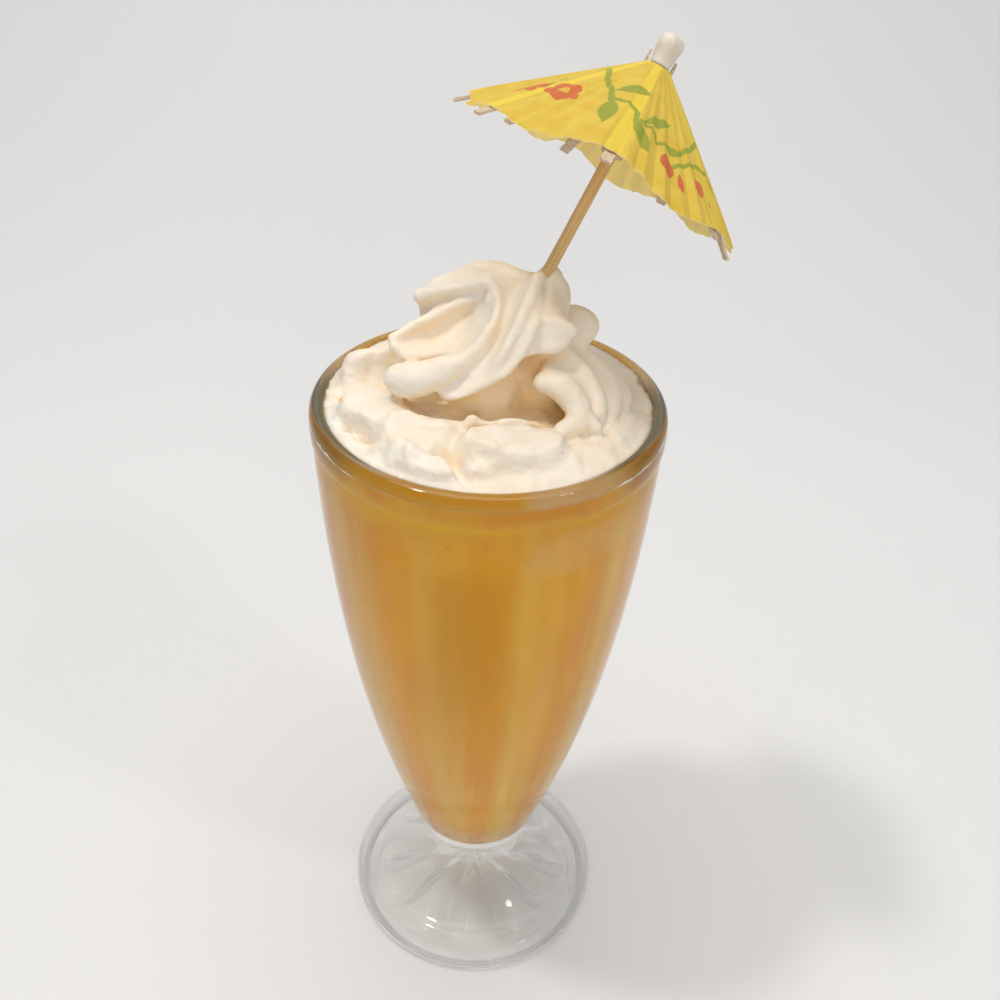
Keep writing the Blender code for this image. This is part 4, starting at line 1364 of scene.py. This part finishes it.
def cap_finish(settings):
    """Dull off-white cap, a little soiled."""
    finish = Finish("cap_white")
    own = finish.own_places()
    cloud = finish.cloud(own, 350.0, 3.0)
    fine = finish.cloud(own, 1800.0, 2.0)
    colour = finish.blend(cloud.past(0.35, 0.75), triple(settings.cap_colour), (0.62, 0.55, 0.47))
    finish.set(Base_Color=colour, Roughness=0.55 + 0.2 * fine)
    finish.set(Normal=finish.tilt(cloud + 0.3 * fine, 0.0002, 0.5))
    return finish.material


def floor_finish(settings):
    """Pale matt surface with a barely seen unevenness, and painted shade that darkens it further back."""
    finish = Finish("pale_surface")
    places = finish.places()
    cloud = finish.cloud(places, 6.0, 2.0)
    base = triple(settings.floor_colour)
    colour = finish.blend(cloud, base, tuple(0.985 * part for part in base))
    # Painted shade: the floor and wall grow darker further back, where less light falls.
    y = finish.parts(places)[1]
    colour = finish.blend(y.past(0.2, 0.8), colour, tuple(0.88 * part for part in base))
    finish.set(Base_Color=colour, Roughness=0.5 + 0.1 * cloud)
    return finish.material


# Settings


def length_setting(name, description, default):
    return bpy.props.FloatProperty(name=name, description=description, default=default, min=0.0,
                                   precision=5, subtype="DISTANCE", unit="LENGTH")


def colour_setting(name, description, default):
    return bpy.props.FloatVectorProperty(name=name, description=description, default=default, size=3,
                                         min=0.0, max=1.0, subtype="COLOR")


def strength_setting(name, description, default):
    return bpy.props.FloatProperty(name=name, description=description, default=default, min=0.0)


class GlassSettings(bpy.types.PropertyGroup):
    """Sizes and colour of the glass"""

    wall_thickness: length_setting("Wall Thickness", "Thickness of the bowl's wall", WALL_THICKNESS * MM)
    flute_depth: length_setting("Flute Depth", "Height of the ridges between the inner flutes",
                                FLUTE_DEPTH * MM)
    tint: colour_setting("Tint", "Colour of thick glass", (0.95, 0.965, 0.93))
    rim_tint: colour_setting("Rim Tint", "Colour of the thick rim", (0.97, 0.94, 0.84))
    clearness: bpy.props.FloatProperty(name="Clearness", default=0.82, min=0.0, max=1.0, subtype="FACTOR",
                                       description="How strongly the glass bends what shows")


class ShakeSettings(bpy.types.PropertyGroup):
    """Level and colours of the drink"""

    level: length_setting("Level", "Height of the drink above the table", SHAKE_LEVEL * MM)
    colour: colour_setting("Colour", "Main colour of the drink", (0.97, 0.465, 0.0))
    deep_colour: colour_setting("Deep Colour", "Darker clouds in the drink", (0.88, 0.38, 0.0))
    # Also the painted light on one side of each flute.
    ridge_and_lit_side_colour: colour_setting("Pale Colour", "Drink behind the thick ridges of glass", (0.99, 0.68, 0.12))
    # Also the colour of the painted glints on the flute ridges.
    top_and_glint_colour: colour_setting("Top Colour", "Colour just under the rim", (1.0, 0.54, 0.0))


class CreamSettings(bpy.types.PropertyGroup):
    """Fineness and colours of the cream"""

    fineness: length_setting("Fineness", "Size of the cells that fuse the cream", 0.00055)
    fold_depth: length_setting("Fold Depth", "Height of the small folds", 0.0003)
    colour: colour_setting("Colour", "Main colour of the cream", (0.88, 0.81, 0.71))
    shade_colour: colour_setting("Shade Colour", "Warmer parts of the cream", (0.87, 0.77, 0.63))
    # Colour of the painted shade in sheltered hollows.
    painted_hollow_shade_colour: colour_setting("Hollow Colour", "Cream in sheltered hollows", (0.94, 0.70, 0.38))
    stain_colour: colour_setting("Stain Colour", "Cream mixed with drink at the glass", (0.93, 0.46, 0.0))


class UmbrellaSettings(bpy.types.PropertyGroup):
    """Sizes and colours of the paper umbrella"""

    pleat_depth: length_setting("Pleat Depth", "Depth of the paper's pleats at its edge", 0.0014)
    stick_radius: length_setting("Stick Radius", "Radius of the bamboo stick", 0.00135)
    paper_colour: colour_setting("Paper Colour", "Main colour of the paper", (0.66, 0.47, 0.075))
    paper_shade: colour_setting("Paper Shade", "Deeper parts of the paper", (0.60, 0.41, 0.055))
    band_colour: colour_setting("Band Colour", "Paper over the ribs", (0.80, 0.56, 0.06))
    # Colour of the painted light on the paper's underside.
    underside_painted_light_colour: colour_setting("Underside Colour", "Paper seen from below", (0.98, 0.74, 0.36))
    leaf_colour: colour_setting("Leaf Colour", "Printed leaves and stems", (0.14, 0.26, 0.035))
    flower_colour: colour_setting("Flower Colour", "Printed flowers and buds", (0.52, 0.085, 0.045))
    stick_colour: colour_setting("Stick Colour", "Main colour of the bamboo", (0.78, 0.52, 0.23))
    stick_dark: colour_setting("Stick Grain", "Dark fibres of the bamboo", (0.56, 0.33, 0.12))
    slat_colour: colour_setting("Slat Colour", "Pale wood of the ribs", (0.74, 0.62, 0.47))
    slat_dark: colour_setting("Slat Grain", "Darker grain of the ribs", (0.52, 0.38, 0.24))
    cap_colour: colour_setting("Cap Colour", "Colour of the cap", (0.79, 0.72, 0.63))


class StudioSettings(bpy.types.PropertyGroup):
    """Floor and lights"""

    floor_colour: colour_setting("Floor Colour", "Colour of the floor", (0.80, 0.80, 0.80))
    key_power: strength_setting("Key Power", "Power of the left light in watts", 3.6)
    fill_power: strength_setting("Fill Power", "Power of the right light in watts", 1.5)
    overhead_power: strength_setting("Overhead Power", "Power of the wide light in watts", 6.6)
    front_power: strength_setting("Front Power", "Power of the front light in watts", 4.0)
    sky: strength_setting("Sky", "Brightness of the surroundings", 0.36)


# Operators


class MILKSHAKE_OT_glass(bpy.types.Operator):
    """Makes the footed soda glass"""

    bl_idname = "milkshake.glass"
    bl_label = "Soda Glass"

    def execute(self, context):
        settings = context.scene.milkshake_glass
        finish_piece("soda_glass", glass_mesh(settings), glass_finish(settings),
                     ["glass"], 50.0)
        return {"FINISHED"}


class MILKSHAKE_OT_drink(bpy.types.Operator):
    """Fills the glass with the mango drink"""

    bl_idname = "milkshake.drink"
    bl_label = "Mango Drink"

    def execute(self, context):
        settings = context.scene.milkshake_drink
        finish_piece("mango_drink", shake_mesh(settings), shake_finish(settings),
                     ["milkshake"], 60.0)
        return {"FINISHED"}


class MILKSHAKE_OT_cream(bpy.types.Operator):
    """Makes the spooned cream bed and the piped swirl as one body"""

    bl_idname = "milkshake.cream"
    bl_label = "Whipped Cream"

    def execute(self, context):
        settings = context.scene.milkshake_cream
        material = cream_finish(settings)
        mesh = make_cream_mesh(settings, material)
        finish_piece("cream_swirl", mesh, material, ["whipped_cream"], 180.0)
        return {"FINISHED"}


class MILKSHAKE_OT_canopy(bpy.types.Operator):
    """Makes the pleated paper canopy with its print"""

    bl_idname = "milkshake.canopy"
    bl_label = "Paper Canopy"

    def execute(self, context):
        settings = context.scene.milkshake_umbrella
        finish_piece("paper_canopy", canopy_mesh(settings), paper_finish(settings),
                     ["umbrella_canopy"], 40.0)
        return {"FINISHED"}


class MILKSHAKE_OT_slats(bpy.types.Operator):
    """Makes the ribs under the paper and the struts that push them up"""

    bl_idname = "milkshake.slats"
    bl_label = "Ribs and Struts"

    def execute(self, context):
        settings = context.scene.milkshake_umbrella
        wood = slat_finish(settings)
        growth = slat_tree()
        for name, slats, narrow in (("rib", rib_slats(), 0.4), ("strut", strut_slats(), 0.9)):
            mesh = growth.grow(slat_points(slats), {"Narrow End": narrow, "Finish": wood})
            roughen(mesh, 0.06)
            nodes = [f"umbrella_{name}_{number}" for number in range(1, len(slats) + 1)]
            finish_piece(f"split_{name}s", mesh, wood, nodes, 30.0)
        return {"FINISHED"}


class MILKSHAKE_OT_fittings(bpy.types.Operator):
    """Makes the umbrella's stick, hub, runner and cap"""

    bl_idname = "milkshake.fittings"
    bl_label = "Stick, Hub, Runner and Cap"

    def execute(self, context):
        settings = context.scene.milkshake_umbrella
        wood = slat_finish(settings, "fitting_wood")
        finish_piece("bamboo_stick", stick_mesh(settings), bamboo_finish(settings),
                     ["umbrella_stick"])
        finish_piece("top_hub", hub_mesh(settings), wood, ["umbrella_hub"], 40.0)
        finish_piece("runner_ring", runner_mesh(settings), wood, ["umbrella_runner"], 40.0)
        finish_piece("round_cap", cap_mesh(), cap_finish(settings), ["umbrella_cap"])
        return {"FINISHED"}


class MILKSHAKE_OT_studio(bpy.types.Operator):
    """Sets up the pale floor, the soft lights and the camera"""

    bl_idname = "milkshake.studio"
    bl_label = "Studio"

    def execute(self, context):
        settings = context.scene.milkshake_studio
        make_floor(settings)
        make_light("overhead", Vector((0.0, 0.1, 1.35)), 1.2, settings.overhead_power, (1.0, 0.99, 0.98))
        make_light("key", Vector((-0.40, -0.01, 1.24)), 0.12, settings.key_power, (1.0, 0.97, 0.92))
        make_light("front", Vector((0.1, -1.3, 0.6)), 0.8, settings.front_power, (1.0, 0.99, 0.97))
        make_light("fill", Vector((0.75, -0.51, 1.07)), 0.16, settings.fill_power, (1.0, 0.98, 0.95))
        make_sky(settings.sky)
        context.scene.view_settings.view_transform = "Standard"
        make_camera(GLASS_AXIS)
        return {"FINISHED"}


def make_floor(settings):
    """A floor that curves up behind the milkshake into a wall."""
    outline = [(y, 0.0) for y in (*FLOOR_FRONT, SWEEP_START)]
    for step in range(1, 25):
        turn = math.radians(90.0 * step / 24)
        outline.append((SWEEP_START + SWEEP_RADIUS * math.sin(turn), SWEEP_RADIUS * (1.0 - math.cos(turn))))
    outline.append((SWEEP_START + SWEEP_RADIUS, BACKDROP_HEIGHT))
    vertices = [(x, y, z) for x in (-FLOOR_HALF_WIDTH, FLOOR_HALF_WIDTH) for y, z in outline]
    count = len(outline)
    faces = [(step, count + step, count + step + 1, step + 1) for step in range(count - 1)]
    mesh = bpy.data.meshes.new("pale_floor_mesh")
    mesh.from_pydata([Vector(v) * MM + GLASS_AXIS for v in vertices], [], faces)
    mesh.shade_smooth()
    mesh.materials.append(floor_finish(settings))
    floor = bpy.data.objects.new("pale_floor", mesh)
    bpy.context.scene.collection.objects.link(floor)


def make_light(name, place, size, power, colour):
    data = bpy.data.lights.new(name, "AREA")
    data.shape = "DISK"
    data.size = size
    data.energy = power
    data.color = colour
    light = bpy.data.objects.new(name, data)
    light.location = place + GLASS_AXIS
    light.rotation_euler = (Vector((0.0, 0.0, 0.12)) - place).to_track_quat("-Z", "Y").to_euler()
    light.visible_glossy = name != "front"
    bpy.context.scene.collection.objects.link(light)


def make_sky(brightness):
    world = bpy.data.worlds.new("pale_room")
    world.use_nodes = True
    background = world.node_tree.nodes["Background"]
    background.inputs["Color"].default_value = (1.0, 1.0, 1.0, 1.0)
    background.inputs["Strength"].default_value = brightness
    bpy.context.scene.world = world


def make_camera(axis):
    """The camera at the photographed angle."""
    flat = math.cos(CAMERA_PITCH)
    ahead = Vector((math.sin(CAMERA_YAW) * flat, math.cos(CAMERA_YAW) * flat, -math.sin(CAMERA_PITCH)))
    level = Vector((math.cos(CAMERA_YAW), -math.sin(CAMERA_YAW), 0.0))
    above = level.cross(ahead)
    right = math.cos(CAMERA_ROLL) * level + math.sin(CAMERA_ROLL) * above
    up = math.cos(CAMERA_ROLL) * above - math.sin(CAMERA_ROLL) * level
    data = bpy.data.cameras.new("camera")
    data.sensor_width = 36.0
    data.lens = CAMERA_LENS
    data.clip_start = 0.01
    data.clip_end = 20.0
    camera = bpy.data.objects.new("camera", data)
    turn = Matrix((right, up, -ahead)).transposed()
    eye = axis + Vector((0.0, -CAMERA_BACK, CAMERA_HEIGHT)) * MM
    camera.matrix_world = Matrix.Translation(eye) @ turn.to_4x4()
    bpy.context.scene.collection.objects.link(camera)
    bpy.context.scene.camera = camera


OPERATORS = (
    MILKSHAKE_OT_glass,
    MILKSHAKE_OT_drink,
    MILKSHAKE_OT_cream,
    MILKSHAKE_OT_fittings,
    MILKSHAKE_OT_slats,
    MILKSHAKE_OT_canopy,
    MILKSHAKE_OT_studio,
)
SETTINGS = {
    "milkshake_glass": GlassSettings,
    "milkshake_drink": ShakeSettings,
    "milkshake_cream": CreamSettings,
    "milkshake_umbrella": UmbrellaSettings,
    "milkshake_studio": StudioSettings,
}


class MILKSHAKE_PT_panel(bpy.types.Panel):
    """Lists the milkshake's pieces and their settings"""

    bl_idname = "MILKSHAKE_PT_panel"
    bl_label = "Mango Milkshake"
    bl_space_type = "VIEW_3D"
    bl_region_type = "UI"
    bl_category = "Milkshake"

    def draw(self, context):
        for operator in OPERATORS:
            self.layout.operator(operator.bl_idname)
        for name, group in SETTINGS.items():
            box = self.layout.box()
            box.label(text=group.__doc__)
            for key in group.__annotations__:
                box.prop(getattr(context.scene, name), key)


def register():
    for group in SETTINGS.values():
        bpy.utils.register_class(group)
    for operator in OPERATORS:
        bpy.utils.register_class(operator)
    bpy.utils.register_class(MILKSHAKE_PT_panel)
    for name, group in SETTINGS.items():
        setattr(bpy.types.Scene, name, bpy.props.PointerProperty(type=group))


def unregister():
    for name in SETTINGS:
        delattr(bpy.types.Scene, name)
    bpy.utils.unregister_class(MILKSHAKE_PT_panel)
    for operator in reversed(OPERATORS):
        bpy.utils.unregister_class(operator)
    for group in reversed(list(SETTINGS.values())):
        bpy.utils.unregister_class(group)


def main():
    """Builds every piece."""
    register()
    for operator in OPERATORS:
        group, call = operator.bl_idname.split(".")
        getattr(getattr(bpy.ops, group), call)()


if __name__ == "__main__":
    main()
